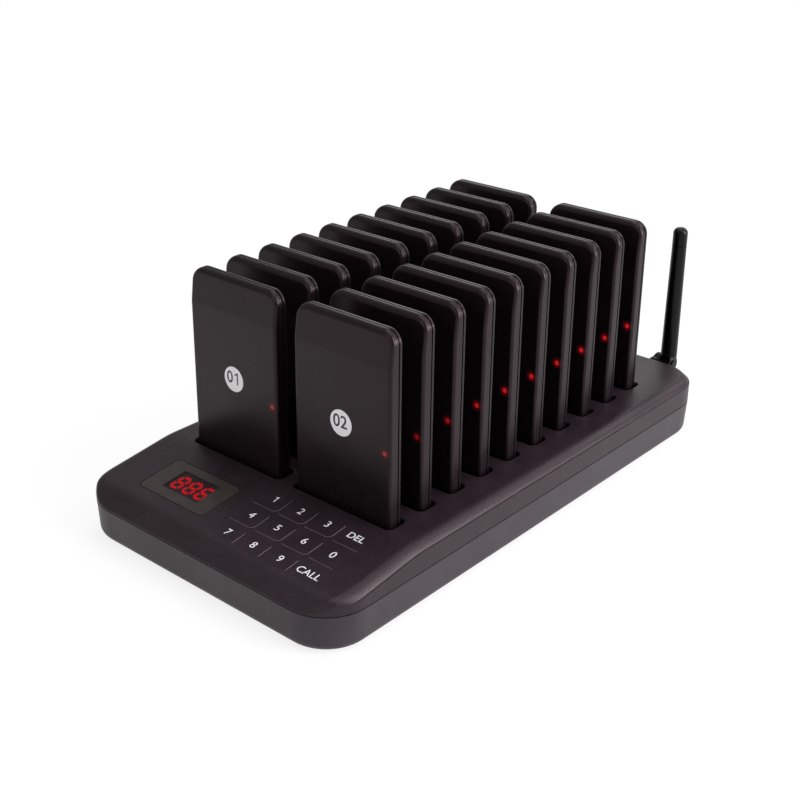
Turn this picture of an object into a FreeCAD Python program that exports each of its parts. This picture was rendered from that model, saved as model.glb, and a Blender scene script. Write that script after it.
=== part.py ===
import FreeCAD, Part
import math
import os
import Sketcher

# Guest pager set: a calling and charging base with twenty pagers in two columns.
# Millimetres. X runs along the front edge, Y towards the back and Z up. The origin is on the
# surface that the feet stand on, under the middle of the set with its antenna upright.

# Driving dimensions: name, value, what it is
DRIVING = [
    ("deck_margin", 19.25, "base beyond the pagers at each side"),
    ("rear_margin", 38.7, "base behind the last row of pagers"),
    ("base_corner", 21.5, "radius of the base's corners in plan"),
    ("foot_height", 0.7, "what the feet show below the tray"),
    ("foot_radius", 7, "rubber foot"),
    ("foot_sink", 0.5, "foot let into the tray"),
    ("foot_inset", 27, "foot from the base's outline"),
    ("tray_height", 17.6, "tray's underside to the seam"),
    ("tray_floor", 2.5, "tray's floor"),
    ("tray_draft", 1.0, "how far the tray's wall leans in at the bottom"),
    ("tray_edge", 4, "round along the tray's lower edge"),
    ("wall", 2.5, "walls of the tray and the cover"),
    ("seam_gap", 0.45, "shadow gap at the seam"),
    ("rim_thickness", 1.2, "tongue that the cover drops over"),
    ("rim_height", 2.5, "tongue above the seam"),
    ("rim_root", 4, "tongue's root below the seam"),
    ("fit_gap", 0.15, "sliding clearance between case parts"),
    ("cover_height", 12.7, "seam to the flat deck"),
    ("deck_thickness", 2.4, "skin of the cover"),
    ("front_lip", 0.9, "upright front edge of the cover"),
    ("ridge_setback", 8.7, "front edge to the panel's lower ridge"),
    ("ridge_drop", 5.8, "ridge below the deck"),
    ("deck_lip", 3.9, "level deck in front of the first row of pagers"),
    ("ridge_blend", 8, "round along the ridge"),
    ("panel_blend", 60, "round where the deck starts to slope"),
    ("side_round", 6, "shoulder of the cover along its sides and back"),
    ("front_round", 1.6, "shoulder of the cover along its front"),
    ("crease_drop", 3.4, "crease below the top along the sides"),
    ("boss_radius", 3.8, "screw bosses of the case"),
    ("boss_height", 10, "tray's bosses above its floor"),
    ("boss_inset", 13.5, "front and back bosses from the outline"),
    ("side_boss_inset", 9.3, "middle bosses from the sides"),
    ("case_screw_radius", 1.2, "case screw's core"),
    ("case_screw_length", 14, "case screw under its head"),
    ("case_head_radius", 2.8, "case screw's head"),
    ("case_head_height", 2, "case screw's head"),
    ("case_screw_recess", 5, "depth of the head's hole"),
    ("screw_play", 0.3, "clearance around a screw"),
    ("pager_width", 55, "pager, side to side"),
    ("pager_length", 106.5, "pager, bottom to top"),
    ("pager_thickness", 7.6, "pager, front to back"),
    ("pager_corner", 6.5, "corner radius of a pager's outline"),
    ("pager_wall", 1.5, "shells of a pager"),
    ("kink_drop", 16.3, "kink in a pager's front below its top"),
    ("kink_setback", 2, "how far the front leans back above the kink"),
    ("kink_blend", 10, "round along the kink"),
    ("front_shell_depth", 5, "front shell of a pager"),
    ("shell_groove", 0.75, "groove between a pager's shells, wide and deep"),
    ("front_edge_round", 1.5, "edges of the front shell"),
    ("top_edge_round", 2.8, "front shell's edge along its top"),
    ("back_edge_round", 1.0, "edges of the back shell"),
    ("pager_post_radius", 2.1, "screw posts in a pager"),
    ("pager_post_inset", 6.5, "posts from the pager's sides"),
    ("pager_post_low", 6.5, "lower posts above the pager's bottom"),
    ("pager_post_drop", 9.5, "upper posts below the pager's top"),
    ("pager_screw_radius", 0.9, "pager screw"),
    ("pager_screw_length", 4.6, "pager screw under its head"),
    ("pager_head_radius", 1.7, "pager screw's head"),
    ("pager_head_height", 0.8, "pager screw's head"),
    ("label_radius", 6.1, "number label on a pager"),
    ("label_thickness", 0.15, "number label on a pager"),
    ("label_height", 58.6, "label's middle above the pager's bottom"),
    ("lamp_radius", 1.1, "red lamp on a pager"),
    ("lamp_height", 52.4, "lamp above the pager's bottom"),
    ("lamp_inset", 3, "lamp from the pager's side"),
    ("pager_board_gap", 0.5, "pager's circuit board from its side walls"),
    ("pager_board_low", 10, "circuit board above the pager's bottom"),
    ("pager_board_height", 50, "pager's circuit board"),
    ("pager_board_front", 2.2, "circuit board from the pager's front"),
    ("pager_board_thickness", 0.8, "pager's circuit board"),
    ("cell_post_gap", 2.4, "pager's battery from the screw posts"),
    ("cell_drop", 10.5, "pager's battery below its top"),
    ("cell_thickness", 2.7, "pager's battery"),
    ("cell_low", 62, "battery above the pager's bottom"),
    ("cell_front", 3.1, "battery from the pager's front"),
    ("motor_radius", 5, "pager's vibration motor"),
    ("motor_thickness", 2.7, "pager's vibration motor"),
    ("motor_side", 13, "motor left of the pager's middle"),
    ("sounder_radius", 6, "pager's sounder"),
    ("sounder_thickness", 2.5, "pager's sounder"),
    ("sounder_side", 12, "sounder right of the pager's middle"),
    ("parts_height", 24, "motor and sounder above the pager's bottom"),
    ("pad_width", 4, "pager's charging pad"),
    ("pad_depth", 1.4, "pager's charging pad"),
    ("pad_rise", 11.7, "pad's block behind the pager's end wall"),
    ("pad_sink", 0.1, "pad inside the pager's end"),
    ("pad_side", 10, "pads from the pager's middle"),
    ("pager_pitch", 20.8, "one row of pagers to the next"),
    ("pager_rows", 10, "rows of pagers"),
    ("column_gap", 11.3, "between the two columns of pagers"),
    ("pager_setback", 57.9, "front edge to the first row's face"),
    ("slot_depth", 18.2, "how far a pager stands in its slot"),
    ("slot_side_gap", 1.6, "slot beyond the pager at each side"),
    ("slot_front_gap", 1.8, "slot in front of the pager"),
    ("slot_back_gap", 2.0, "slot behind the pager"),
    ("slot_corner", 2.5, "corner radius of a slot"),
    ("slot_edge", 0.5, "chamfer around a slot"),
    ("pager_seat_gap", 0.2, "pager's end above the pocket's floor"),
    ("guide_gap", 0.4, "pocket around the pager's end"),
    ("guide_height", 7, "guided length of the pager's end"),
    ("strip_wall", 2, "walls of the pocket strips"),
    ("strip_gap", 0.2, "pocket strips below the cover's skin"),
    ("strip_floor", 1.8, "floor of the pockets"),
    ("ear_length", 7, "screw ears of a pocket strip"),
    ("ear_width", 9, "screw ears of a pocket strip"),
    ("ear_thickness", 3, "screw ears of a pocket strip"),
    ("ear_side", 19, "ears from the column's middle"),
    ("board_thickness", 1.6, "circuit boards of the base"),
    ("charging_board_width", 50, "board under a column of pockets"),
    ("post_radius", 3, "posts under the boards"),
    ("small_screw_radius", 1.1, "board screw's core"),
    ("small_screw_length", 8, "board screw under its head"),
    ("small_head_radius", 2.2, "board screw's head"),
    ("small_head_height", 1.4, "board screw's head"),
    ("short_screw_length", 4, "main board's screws under their heads"),
    ("contact_width", 3, "spring contact"),
    ("contact_strip", 0.3, "spring contact's metal"),
    ("contact_reach", 2, "flat ends of a spring contact"),
    ("contact_gap", 0.1, "spring contact below the pager's end"),
    ("contact_play", 0.5, "around a spring contact in its slit"),
    ("main_board_clearance", 1.6, "main board from the case's screw bosses"),
    ("main_board_front_gap", 2.5, "main board behind the charging boards"),
    ("main_board_gap", 5.2, "main board from the base's back"),
    ("main_board_rise", 1.6, "main board above the tray's floor"),
    ("main_post_inset", 5, "main board's posts from its ends"),
    ("chip_size", 10, "controller chip"),
    ("chip_height", 1.4, "chips"),
    ("memory_width", 5, "memory chip"),
    ("memory_depth", 6, "memory chip"),
    ("chip_gap", 5, "memory chip from the controller chip"),
    ("capacitor_radius", 3.1, "capacitor"),
    ("capacitor_height", 8, "capacitor"),
    ("capacitor_gap", 1.9, "first capacitor from the memory chip"),
    ("capacitor_pitch", 9.3, "between the capacitors' middles"),
    ("beeper_radius", 6, "key beeper"),
    ("beeper_height", 5, "key beeper"),
    ("beeper_gap", 0.5, "key beeper from the radio module"),
    ("radio_width", 24, "radio module"),
    ("radio_depth", 15, "radio module"),
    ("radio_height", 3, "radio module"),
    ("radio_inset", 3.5, "antenna lead from the radio module's right side"),
    ("jack_inset", 31.9, "power inlet from the base's left side"),
    ("jack_width", 9, "power inlet's body"),
    ("jack_length", 13, "power inlet's body"),
    ("jack_height", 9.4, "power inlet's body"),
    ("jack_nose", 3.9, "power inlet's round nose"),
    ("jack_bore", 2.8, "power inlet's bore"),
    ("jack_pin", 1, "power inlet's pin"),
    ("jack_depth", 9.5, "power inlet's bore"),
    ("lens_inset", 24.9, "display lens from the base's left side"),
    ("lens_width", 43, "display lens"),
    ("lens_length", 24.8, "display lens, up the slope"),
    ("lens_drop", 13.1, "display lens, its upper side down the slope"),
    ("lens_thickness", 1.2, "display lens"),
    ("lens_corner", 3, "display lens"),
    ("lens_gap", 0.35, "around the display lens"),
    ("digits_width", 25, "display module"),
    ("digits_length", 17, "display module, up the slope"),
    ("digits_height", 7, "display module"),
    ("digits_drop", 16.6, "display module, its upper side down the slope"),
    ("display_board_width", 46, "display board"),
    ("display_board_length", 30, "display board"),
    ("touch_left", 1, "touch board, its left side from the middle"),
    ("touch_width", 60.5, "touch board"),
    ("touch_length", 39, "touch board, up the slope"),
    ("touch_drop", 4.6, "touch board, its upper side down the slope"),
    ("touch_thickness", 1.2, "touch board"),
    ("ribbon_width", 8, "flat cable"),
    ("ribbon_thickness", 0.4, "flat cable"),
    ("ribbon_side", 6, "long flat cables from the middle"),
    ("ribbon_lap", 4, "how far a flat cable runs past a board's edge"),
    ("aerial_inset", 32.1, "antenna connector from the base's right side"),
    ("aerial_drop", 7, "antenna connector below the deck"),
    ("thread_radius", 3.1, "antenna connector's thread"),
    ("thread_reach", 4.4, "thread beyond the cover's back"),
    ("flange_radius", 4.2, "connector's flange inside the cover"),
    ("flange_thickness", 2, "connector's flange inside the cover"),
    ("lead_radius", 0.9, "antenna lead"),
    ("lead_bend", 4, "antenna lead's bend"),
    ("nut_radius", 4.6, "connector's nut, over its corners"),
    ("nut_thickness", 1.8, "connector's nut"),
    ("sleeve_radius", 4.7, "antenna's swivelling sleeve"),
    ("sleeve_start", 2.1, "sleeve from the cover's back"),
    ("sleeve_length", 2.2, "sleeve up to the hinge"),
    ("turn_gap", 0.1, "running clearance of the antenna's joints"),
    ("antenna_setback", 10.8, "hinge pin behind the cover's back"),
    ("hinge_radius", 4.6, "antenna's hinge eyes"),
    ("hinge_side", 1.1, "middle of the hinge right of the connector"),
    ("web_height", 6.1, "web between the sleeve and its hinge eye"),
    ("fixed_eye", 4.6, "width of the sleeve's hinge eye"),
    ("moving_eye", 6, "width of the whip's hinge eye"),
    ("eye_gap", 0.2, "between the two hinge eyes"),
    ("pin_radius", 1.5, "antenna's hinge pin"),
    ("pin_head", 2.4, "hinge pin's heads"),
    ("pin_head_height", 0.6, "hinge pin's heads"),
    ("whip_root", 4.4, "whip's radius at its root"),
    ("whip_tip", 3.8, "whip's radius at its top"),
    ("whip_length", 68.6, "hinge pin to the top of the whip's sleeve"),
    ("cap_length", 9.3, "whip's end cap"),
    ("cap_groove", 0.5, "groove under the whip's end cap"),
]

# Sizes that follow from the driving ones: name, formula, what it is
DERIVED = [
    ("base_width", "=(pager_width + deck_margin) * 2 + column_gap", "base, side to side at the seam"),
    ("base_depth", "=pager_setback + pager_pitch * (pager_rows - 1) + pager_thickness + rear_margin",
     "base, front to back at the seam"),
    ("panel_setback", "=pager_setback - deck_lip", "front edge to where the deck starts to slope"),
    ("kink_height", "=pager_length - kink_drop", "pager's bottom to the kink in its front"),
    ("pager_post_side", "=pager_width / 2 - pager_post_inset", "posts from the pager's middle"),
    ("pager_post_high", "=pager_length - pager_post_drop", "upper posts above the pager's bottom"),
    ("pager_board_width", "=pager_width - (pager_wall + pager_board_gap) * 2", "pager's circuit board"),
    ("cell_width", "=(pager_post_side - pager_post_radius - cell_post_gap) * 2", "pager's battery"),
    ("cell_height", "=pager_length - cell_drop - cell_low", "pager's battery"),
    ("main_board_width", "=base_width - (boss_inset + boss_radius + main_board_clearance) * 2",
     "main board"),
    ("main_board_depth", "=rear_margin - slot_back_gap - strip_wall - ear_length - main_board_front_gap"
     " - main_board_gap", "main board"),
    ("main_post_side", "=main_board_width / 2 - main_post_inset", "main board's posts from the middle"),
    ("jack_side", "=base_width / 2 - jack_inset", "power inlet left of the middle"),
    ("lens_left", "=base_width / 2 - lens_inset", "display lens, its left side from the middle"),
    ("aerial_side", "=base_width / 2 - aerial_inset", "antenna connector right of the middle"),
    ("radio_left", "=aerial_side + radio_inset - radio_width",
     "radio module, its left side from the middle"),
    ("beeper_side", "=radio_left - beeper_gap - beeper_radius", "key beeper right of the middle"),
]

X_AXIS = FreeCAD.Vector(1, 0, 0)
Y_AXIS = FreeCAD.Vector(0, 1, 0)
Z_AXIS = FreeCAD.Vector(0, 0, 1)

# A local Z turned to lie along Y or X
TO_Y = FreeCAD.Rotation(X_AXIS, -90)
TO_X = FreeCAD.Rotation(Y_AXIS, 90)
# A drawing in YZ that is raised along X, and one in XZ that is raised towards the front
SIDE_VIEW = FreeCAD.Rotation(FreeCAD.Vector(1, 1, 1), 120)
FRONT_VIEW = FreeCAD.Rotation(X_AXIS, 90)
# A quarter ring that runs from facing the back to facing down
BACK_TO_DOWN = FreeCAD.Rotation(FreeCAD.Vector(-1, 1, 1), 240)

# How much further than a piece the tool that cuts it reaches
OVERCUT = 8


def text_of(size):
    return size.text if isinstance(size, Size) else repr(float(size))


def number_of(size):
    return size.value if isinstance(size, Size) else float(size)


class Size:
    """A length that knows its number and the expression on the sheet that gives it."""

    def __init__(self, text, value):
        self.text = text
        self.value = float(value)

    def __add__(self, other):
        return Size("(%s + %s)" % (self.text, text_of(other)), self.value + number_of(other))

    def __sub__(self, other):
        return Size("(%s - %s)" % (self.text, text_of(other)), self.value - number_of(other))

    def __rsub__(self, other):
        return -self + other

    def __mul__(self, other):
        return Size("(%s * %s)" % (self.text, text_of(other)), self.value * number_of(other))

    def __truediv__(self, other):
        return Size("(%s / %s)" % (self.text, text_of(other)), self.value / number_of(other))

    def __neg__(self):
        return Size("(0 - %s)" % self.text, -self.value)


class Sheet:
    """The dimensions as attributes, each tied to its cell."""

    def __init__(self, document):
        cells = document.addObject("Spreadsheet::Sheet", "Sizes")
        for row, (alias, value, note) in enumerate(DRIVING + DERIVED, start=1):
            cells.set("A%d" % row, note)
            cells.set("B%d" % row, str(value))
            cells.setAlias("B%d" % row, alias)
        document.recompute()
        for alias, value, note in DRIVING + DERIVED:
            setattr(self, alias, Size("Sizes." + alias, cells.get(alias)))


doc = FreeCAD.newDocument("guest_pager_set")
S = Sheet(doc)

# Heights and places that several pieces share
tray_z = S.foot_height
floor_z = tray_z + S.tray_floor
seam_z = tray_z + S.tray_height
deck_z = seam_z + S.cover_height
front_y = (S.base_depth + S.antenna_setback + S.hinge_radius) / -2
back_y = front_y + S.base_depth
side_x = S.base_width / 2
column_x = (S.pager_width + S.column_gap) / 2
first_y = front_y + S.pager_setback
pager_z = deck_z - S.slot_depth
pocket_z = pager_z - S.pager_seat_gap
strip_z = pocket_z - S.strip_floor
charging_board_z = strip_z - S.board_thickness
main_board_z = floor_z + S.main_board_rise
main_board_top = main_board_z + S.board_thickness
main_board_y = back_y - S.main_board_gap - S.main_board_depth
panel_y = front_y + S.panel_setback
aerial_z = deck_z - S.aerial_drop
hinge_y = back_y + S.antenna_setback
eye_x = S.aerial_side + S.hinge_side
slot_length = S.pager_width + S.slot_side_gap * 2
slot_width = S.pager_thickness + S.slot_front_gap + S.slot_back_gap
slot_y = first_y - S.slot_front_gap
strip_width = slot_length + S.strip_wall * 2
strip_y = slot_y - S.strip_wall
strip_length = S.pager_pitch * (S.pager_rows.value - 1) + slot_width + S.strip_wall * 2
strip_end_y = strip_y + strip_length
screw_hole = S.small_screw_radius + S.screw_play


def bind(item, prop, size):
    item.setExpression(prop, text_of(size))


def place(item, at, turn=None):
    if turn:
        item.Placement.Rotation = turn
    for axis, size in zip("xyz", at):
        if isinstance(size, Size) or size:
            bind(item, "Placement.Base." + axis, size)
    return item


def box(name, size, at):
    item = doc.addObject("Part::Box", name)
    for prop, value in zip(("Length", "Width", "Height"), size):
        bind(item, prop, value)
    return place(item, at)


def cylinder(name, radius, height, at, turn=None):
    item = doc.addObject("Part::Cylinder", name)
    bind(item, "Radius", radius)
    bind(item, "Height", height)
    return place(item, at, turn)


def cone(name, radius, end_radius, height, at):
    item = doc.addObject("Part::Cone", name)
    bind(item, "Radius1", radius)
    bind(item, "Radius2", end_radius)
    bind(item, "Height", height)
    return place(item, at)


def outline(name, points):
    """A closed sketch of straight lines through points, none of them left of or below its origin."""
    sketch = doc.addObject("Sketcher::SketchObject", name)
    corners = [FreeCAD.Vector(number_of(u), number_of(v), 0) for u, v in points]
    count = len(points)
    for index in range(count):
        sketch.addGeometry(Part.LineSegment(corners[index], corners[(index + 1) % count]), False)
    for index in range(count):
        sketch.addConstraint(Sketcher.Constraint("Coincident", index, 2, (index + 1) % count, 1))
    for index, point in enumerate(points):
        for kind, size in zip(("DistanceX", "DistanceY"), point):
            row = sketch.addConstraint(Sketcher.Constraint(kind, index, 1, number_of(size)))
            if isinstance(size, Size):
                bind(sketch, "Constraints[%d]" % row, size)
    return sketch


def rounded_outline(name, length, width, radius):
    """A closed sketch of a rectangle with round corners, its lower left corner at the origin."""
    sketch = doc.addObject("Sketcher::SketchObject", name)
    long, wide, turn = number_of(length), number_of(width), number_of(radius)
    ends = [((turn, 0), (long - turn, 0)), ((long, turn), (long, wide - turn)),
            ((long - turn, wide), (turn, wide)), ((0, wide - turn), (0, turn))]
    for start, end in ends:
        sketch.addGeometry(Part.LineSegment(FreeCAD.Vector(*start), FreeCAD.Vector(*end)), False)
    centres = [(long - turn, turn), (long - turn, wide - turn), (turn, wide - turn), (turn, turn)]
    for index, centre in enumerate(centres):
        circle = Part.Circle(FreeCAD.Vector(*centre), Z_AXIS, turn)
        quarter = (index - 1) * math.pi / 2
        sketch.addGeometry(Part.ArcOfCircle(circle, quarter, quarter + math.pi / 2), False)
    rules = [Sketcher.Constraint("Horizontal", 0), Sketcher.Constraint("Vertical", 1),
             Sketcher.Constraint("Horizontal", 2), Sketcher.Constraint("Vertical", 3)]
    for index in range(4):
        rules.append(Sketcher.Constraint("Tangent", index, 2, 4 + index, 1))
        rules.append(Sketcher.Constraint("Tangent", 4 + index, 2, (index + 1) % 4, 1))
    for index in range(4, 7):
        rules.append(Sketcher.Constraint("Equal", index, index + 1))
    rules.append(Sketcher.Constraint("DistanceY", 0, 1, 0.0))
    rules.append(Sketcher.Constraint("DistanceX", 3, 1, 0.0))
    sketch.addConstraint(rules)
    for kind, line, point, size in (("DistanceX", 1, 1, length), ("DistanceY", 2, 1, width)):
        row = sketch.addConstraint(Sketcher.Constraint(kind, line, point, number_of(size)))
        bind(sketch, "Constraints[%d]" % row, size)
    row = sketch.addConstraint(Sketcher.Constraint("Radius", 4, turn))
    bind(sketch, "Constraints[%d]" % row, radius)
    return sketch


def prism(name, sketch, depth, at, turn=None):
    item = doc.addObject("Part::Extrusion", name)
    item.Base = sketch
    item.DirMode = "Normal"
    item.Solid = True
    bind(item, "LengthFwd", depth)
    return place(item, at, turn)


def rounded_block(name, length, width, height, radius, at, turn=None):
    return prism(name, rounded_outline(name + "_outline", length, width, radius), height, at, turn)


def frustum(name, lower, upper, low_z, high_z):
    """A straight-sided solid between two rounded rectangles, each (length, width, radius)."""
    sketches = []
    for end, (length, width, radius), z in (("low", lower, low_z), ("high", upper, high_z)):
        sketch = rounded_outline("%s_%s" % (name, end), length, width, radius)
        middle_y = (front_y + back_y) / 2
        sketches.append(place(sketch, (length / -2, middle_y - width / 2, z)))
    item = doc.addObject("Part::Loft", name)
    item.Sections = sketches
    item.Solid = True
    item.Ruled = True
    return item


def cut(name, base, tools):
    item = doc.addObject("Part::Cut", name)
    item.Base = base
    item.Tool = tools[0] if len(tools) == 1 else group(name + "_tools", tools)
    item.Refine = True
    return item


def fuse(name, pieces):
    item = doc.addObject("Part::MultiFuse", name)
    item.Shapes = pieces
    item.Refine = True
    return item


def common(name, pieces):
    item = doc.addObject("Part::MultiCommon", name)
    item.Shapes = pieces
    item.Refine = True
    return item


def group(name, pieces, at=(0, 0, 0), turn=None):
    item = doc.addObject("Part::Compound", name)
    item.Links = pieces
    return place(item, at, turn)


def spread(name, piece, places):
    """Copies of a piece, moved by each of the places."""
    copies = [group("%s_%d" % (name, index), [piece], at) for index, at in enumerate(places)]
    return group(name, copies)


def on_panel(name, pieces):
    """Pieces drawn flat, with the panel's top edge along X at their origin, laid on the slope."""
    item = group(name, pieces, (0, panel_y, deck_z), FreeCAD.Rotation(X_AXIS, 7))
    bind(item, "Placement.Rotation.Angle",
         Size("atan(%s)" % (S.ridge_drop / (S.panel_setback - S.ridge_setback)).text, 0))
    return item


def round_edges(name, base, pick, radius):
    """Round the edges that pick chooses; radius gives a size for a point on an edge's end."""
    doc.recompute()
    item = doc.addObject("Part::Fillet", name)
    item.Base = base
    chosen = []
    for index, edge in enumerate(base.Shape.Edges, start=1):
        if pick(base.Shape, edge):
            ends = [number_of(radius(edge.valueAt(at))) for at in edge.ParameterRange]
            chosen.append((index, ends[0], ends[1]))
    item.Edges = chosen
    return item


def same(first, second):
    return abs(first - number_of(second)) < 1e-4


def lies_at(edge, y):
    """True for an edge that runs straight across at that distance from the front."""
    return same(edge.BoundBox.YMin, y) and same(edge.BoundBox.YMax, y)


def all_rows():
    return [S.pager_pitch * row for row in range(int(S.pager_rows.value))]


def columns():
    return [-column_x, column_x]


def case_screw_places():
    corner_x = side_x - S.boss_inset
    middle_x = side_x - S.side_boss_inset
    middle_y = (front_y + back_y) / 2
    places = [(x, y) for y in (front_y + S.boss_inset, back_y - S.boss_inset)
              for x in (-corner_x, corner_x)]
    return places + [(-middle_x, middle_y), (middle_x, middle_y)]


def ear_places():
    ends = (strip_y - S.ear_length / 2, strip_end_y + S.ear_length / 2)
    return [(middle + side, y) for middle in columns() for y in ends
            for side in (-S.ear_side, S.ear_side)]


def ear_places_of(middle):
    """The screw ears of the column whose middle is given."""
    return [(x, y) for x, y in ear_places() if same(abs(x.value - middle.value), S.ear_side)]


def main_post_places():
    inset = S.post_radius
    return [(x, y) for x in (-S.main_post_side, S.main_post_side)
            for y in (main_board_y + inset, main_board_y + S.main_board_depth - inset)]


def pegs(name, radius, height, places, z):
    """A row of equal upright cylinders that stand at places, with their lower ends at z."""
    return group(name, [cylinder("%s_%d" % (name, index), radius, height, (x, y, z))
                        for index, (x, y) in enumerate(places)])


def screw(name, core, length, head_radius, head_height, head_up):
    """A screw along Z with the underside of its head at the origin."""
    shank_z = -length if head_up else 0
    head_z = 0 if head_up else -head_height
    head = cylinder(name + "_head", head_radius, head_height, (0, 0, head_z))
    shank = cylinder(name + "_shank", core, length, (0, 0, shank_z))
    drive_z = head_height * 0.5 if head_up else -head_height
    drive = cylinder(name + "_drive", core * 0.8, head_height * 0.5, (0, 0, drive_z))
    return cut(name, fuse(name + "_blank", [head, shank]), [drive])


def bottom_tray(profile):
    low = [S.base_width - S.tray_draft * 2, S.base_depth - S.tray_draft * 2, S.base_corner - S.tray_draft]
    high = [S.base_width, S.base_depth, S.base_corner]
    outer = frustum("tray_outer", low, high, tray_z, seam_z - S.seam_gap)
    rounded = round_edges("tray_rounded", outer, lambda shape, edge: same(edge.BoundBox.ZMax, tray_z),
                          lambda point: S.tray_edge)
    inner_low = [low[0] - S.wall * 2, low[1] - S.wall * 2, low[2] - S.wall]
    inner_high = [high[0] - S.wall * 2, high[1] - S.wall * 2, high[2] - S.wall]
    hollow = frustum("tray_hollow", inner_low, inner_high, floor_z, seam_z)
    shell = cut("tray_shell", rounded, [hollow])
    rim = tongue(profile)
    bosses = pegs("tray_bosses", S.boss_radius, S.boss_height, case_screw_places(), floor_z)
    strip_posts = pegs("strip_posts", S.post_radius, charging_board_z - floor_z, ear_places(), floor_z)
    main_posts = pegs("main_posts", S.post_radius, S.main_board_rise, main_post_places(), floor_z)
    body = fuse("tray_body", [shell, rim, bosses, strip_posts, main_posts])
    holes = [
        pegs("tray_screw_holes", S.case_screw_radius + S.screw_play, S.tray_floor + S.boss_height,
             case_screw_places(), tray_z),
        pegs("tray_head_holes", S.case_head_radius + S.screw_play, S.case_screw_recess,
             case_screw_places(), tray_z),
        pegs("strip_screw_holes", S.small_screw_radius, S.small_screw_length, ear_places(), floor_z),
        pegs("main_screw_holes", S.small_screw_radius, S.short_screw_length, main_post_places(),
             main_board_top - S.short_screw_length - S.screw_play),
        pegs("foot_sinks", S.foot_radius + S.fit_gap, S.foot_sink, foot_places(), tray_z),
        cylinder("jack_hole", S.jack_nose + S.fit_gap, S.wall * 2 + S.rim_thickness * 2,
                 (-S.jack_side, back_y - S.wall - S.rim_thickness * 2, jack_z()), TO_Y),
    ]
    return cut("bottom_tray", body, holes)


def tongue(profile):
    """The raised rim inside the tray's wall that centres the cover, kept below the cover's skin."""
    inset = S.wall + S.fit_gap
    ring = []
    far = inset + S.rim_thickness
    root = ("root", S.wall - S.fit_gap, seam_z - S.rim_root, S.rim_root - S.seam_gap)
    top = ("top", inset, seam_z - S.seam_gap * 2, S.rim_height + S.seam_gap * 2)
    for name, start, z, height in (root, top):
        ring.append(cut("rim_" + name, inset_block("rim_%s_out" % name, start, z, height),
                        [inset_block("rim_%s_in" % name, far, z - 1, height + 2)]))
    room = group("rim_profile", [profile], (0, 0, -S.deck_thickness - S.fit_gap))
    reach = S.flange_radius + S.screw_play
    notch = box("rim_notch", (reach * 2, S.rim_thickness * 3, S.rim_height * 2),
                (S.aerial_side - reach, back_y - S.wall - S.rim_thickness * 2, seam_z + S.fit_gap))
    return cut("rim_notched", common("rim", [fuse("rim_ring", ring), room]), [notch])


def inset_block(name, inset, z, height):
    """The base's outline drawn in by an inset and raised from z."""
    return rounded_block(name, S.base_width - inset * 2, S.base_depth - inset * 2, height,
                         S.base_corner - inset, (inset - side_x, front_y + inset, z))


def foot_places():
    x = side_x - S.foot_inset
    return [(side, y) for side in (-x, x) for y in (front_y + S.foot_inset, back_y - S.foot_inset)]


def rubber_feet():
    return pegs("rubber_feet", S.foot_radius, S.foot_height + S.foot_sink, foot_places(), 0)


def jack_z():
    return main_board_top + S.jack_height / 2


def top_profile():
    """The cover's side view, with rounds where its slopes meet, raised right across the base."""
    base = OVERCUT
    top = S.cover_height + base
    points = [(0, 0), (0, S.front_lip + base), (S.ridge_setback, top - S.ridge_drop),
              (S.panel_setback, top), (S.base_depth, top), (S.base_depth, 0)]
    sharp = prism("profile_sharp", outline("profile_outline", points), S.base_width,
                  (-side_x, front_y, seam_z - base), SIDE_VIEW)

    def at_ridge(shape, edge):
        return lies_at(edge, front_y + S.ridge_setback)

    def at_break(shape, edge):
        return lies_at(edge, panel_y)

    eased = round_edges("profile_ridge", sharp, at_ridge, lambda point: S.ridge_blend)
    return round_edges("profile_eased", eased, at_break, lambda point: S.panel_blend)


def on_top_rim(shape, edge):
    """True for an edge between an upright wall and the top."""
    heights = []
    for face in shape.ancestorsOfType(edge, Part.Face):
        u_low, u_high, v_low, v_high = face.ParameterRange
        heights.append(face.normalAt((u_low + u_high) / 2, (v_low + v_high) / 2).z)
    return len(heights) == 2 and min(heights) > -0.1 and min(heights) < 0.1 and max(heights) > 0.5


def shoulder(point):
    """The cover's shoulder radius, which shrinks round the front corners."""
    share = (point.y - front_y.value) / S.base_corner.value
    share = min(max(share, 0), 1)
    return S.front_round.value + (S.side_round.value - S.front_round.value) * share


def cover_outside(profile):
    plan = inset_block("cover_plan", 0, seam_z - OVERCUT, S.cover_height + OVERCUT * 2)
    upper = round_edges("cover_upper", common("cover_sharp", [plan, profile]), on_top_rim, shoulder)
    side_band = common("cover_side_band", [plan, group("band_profile", [profile], (0, 0, -S.crease_drop))])
    below = box("below_seam", (S.base_width * 2, S.base_depth * 2, OVERCUT * 2),
                (-S.base_width, front_y - S.base_depth / 2, seam_z - OVERCUT * 2))
    return cut("cover_outside", fuse("cover_whole", [upper, side_band]), [below])


def slot_tool():
    """One slot's cut, with the chamfer along its upper edge."""
    corner = (-slot_length / 2, slot_y, pocket_z)
    straight = rounded_block("slot_straight", slot_length, slot_width, S.slot_depth + OVERCUT, S.slot_corner,
                             corner)
    flare = doc.addObject("Part::Extrusion", "slot_flare")
    flare.Base = rounded_outline("slot_flare_outline", slot_length, slot_width, S.slot_corner)
    flare.DirMode = "Normal"
    flare.Solid = True
    bind(flare, "LengthFwd", S.slot_edge * 2)
    flare.TaperAngle = 45
    place(flare, (corner[0], corner[1], deck_z - S.slot_edge))
    return fuse("slot_tool", [straight, flare])


def in_every_slot(name, piece):
    return spread(name, piece, [(x, y, 0) for x in columns() for y in all_rows()])


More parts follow.
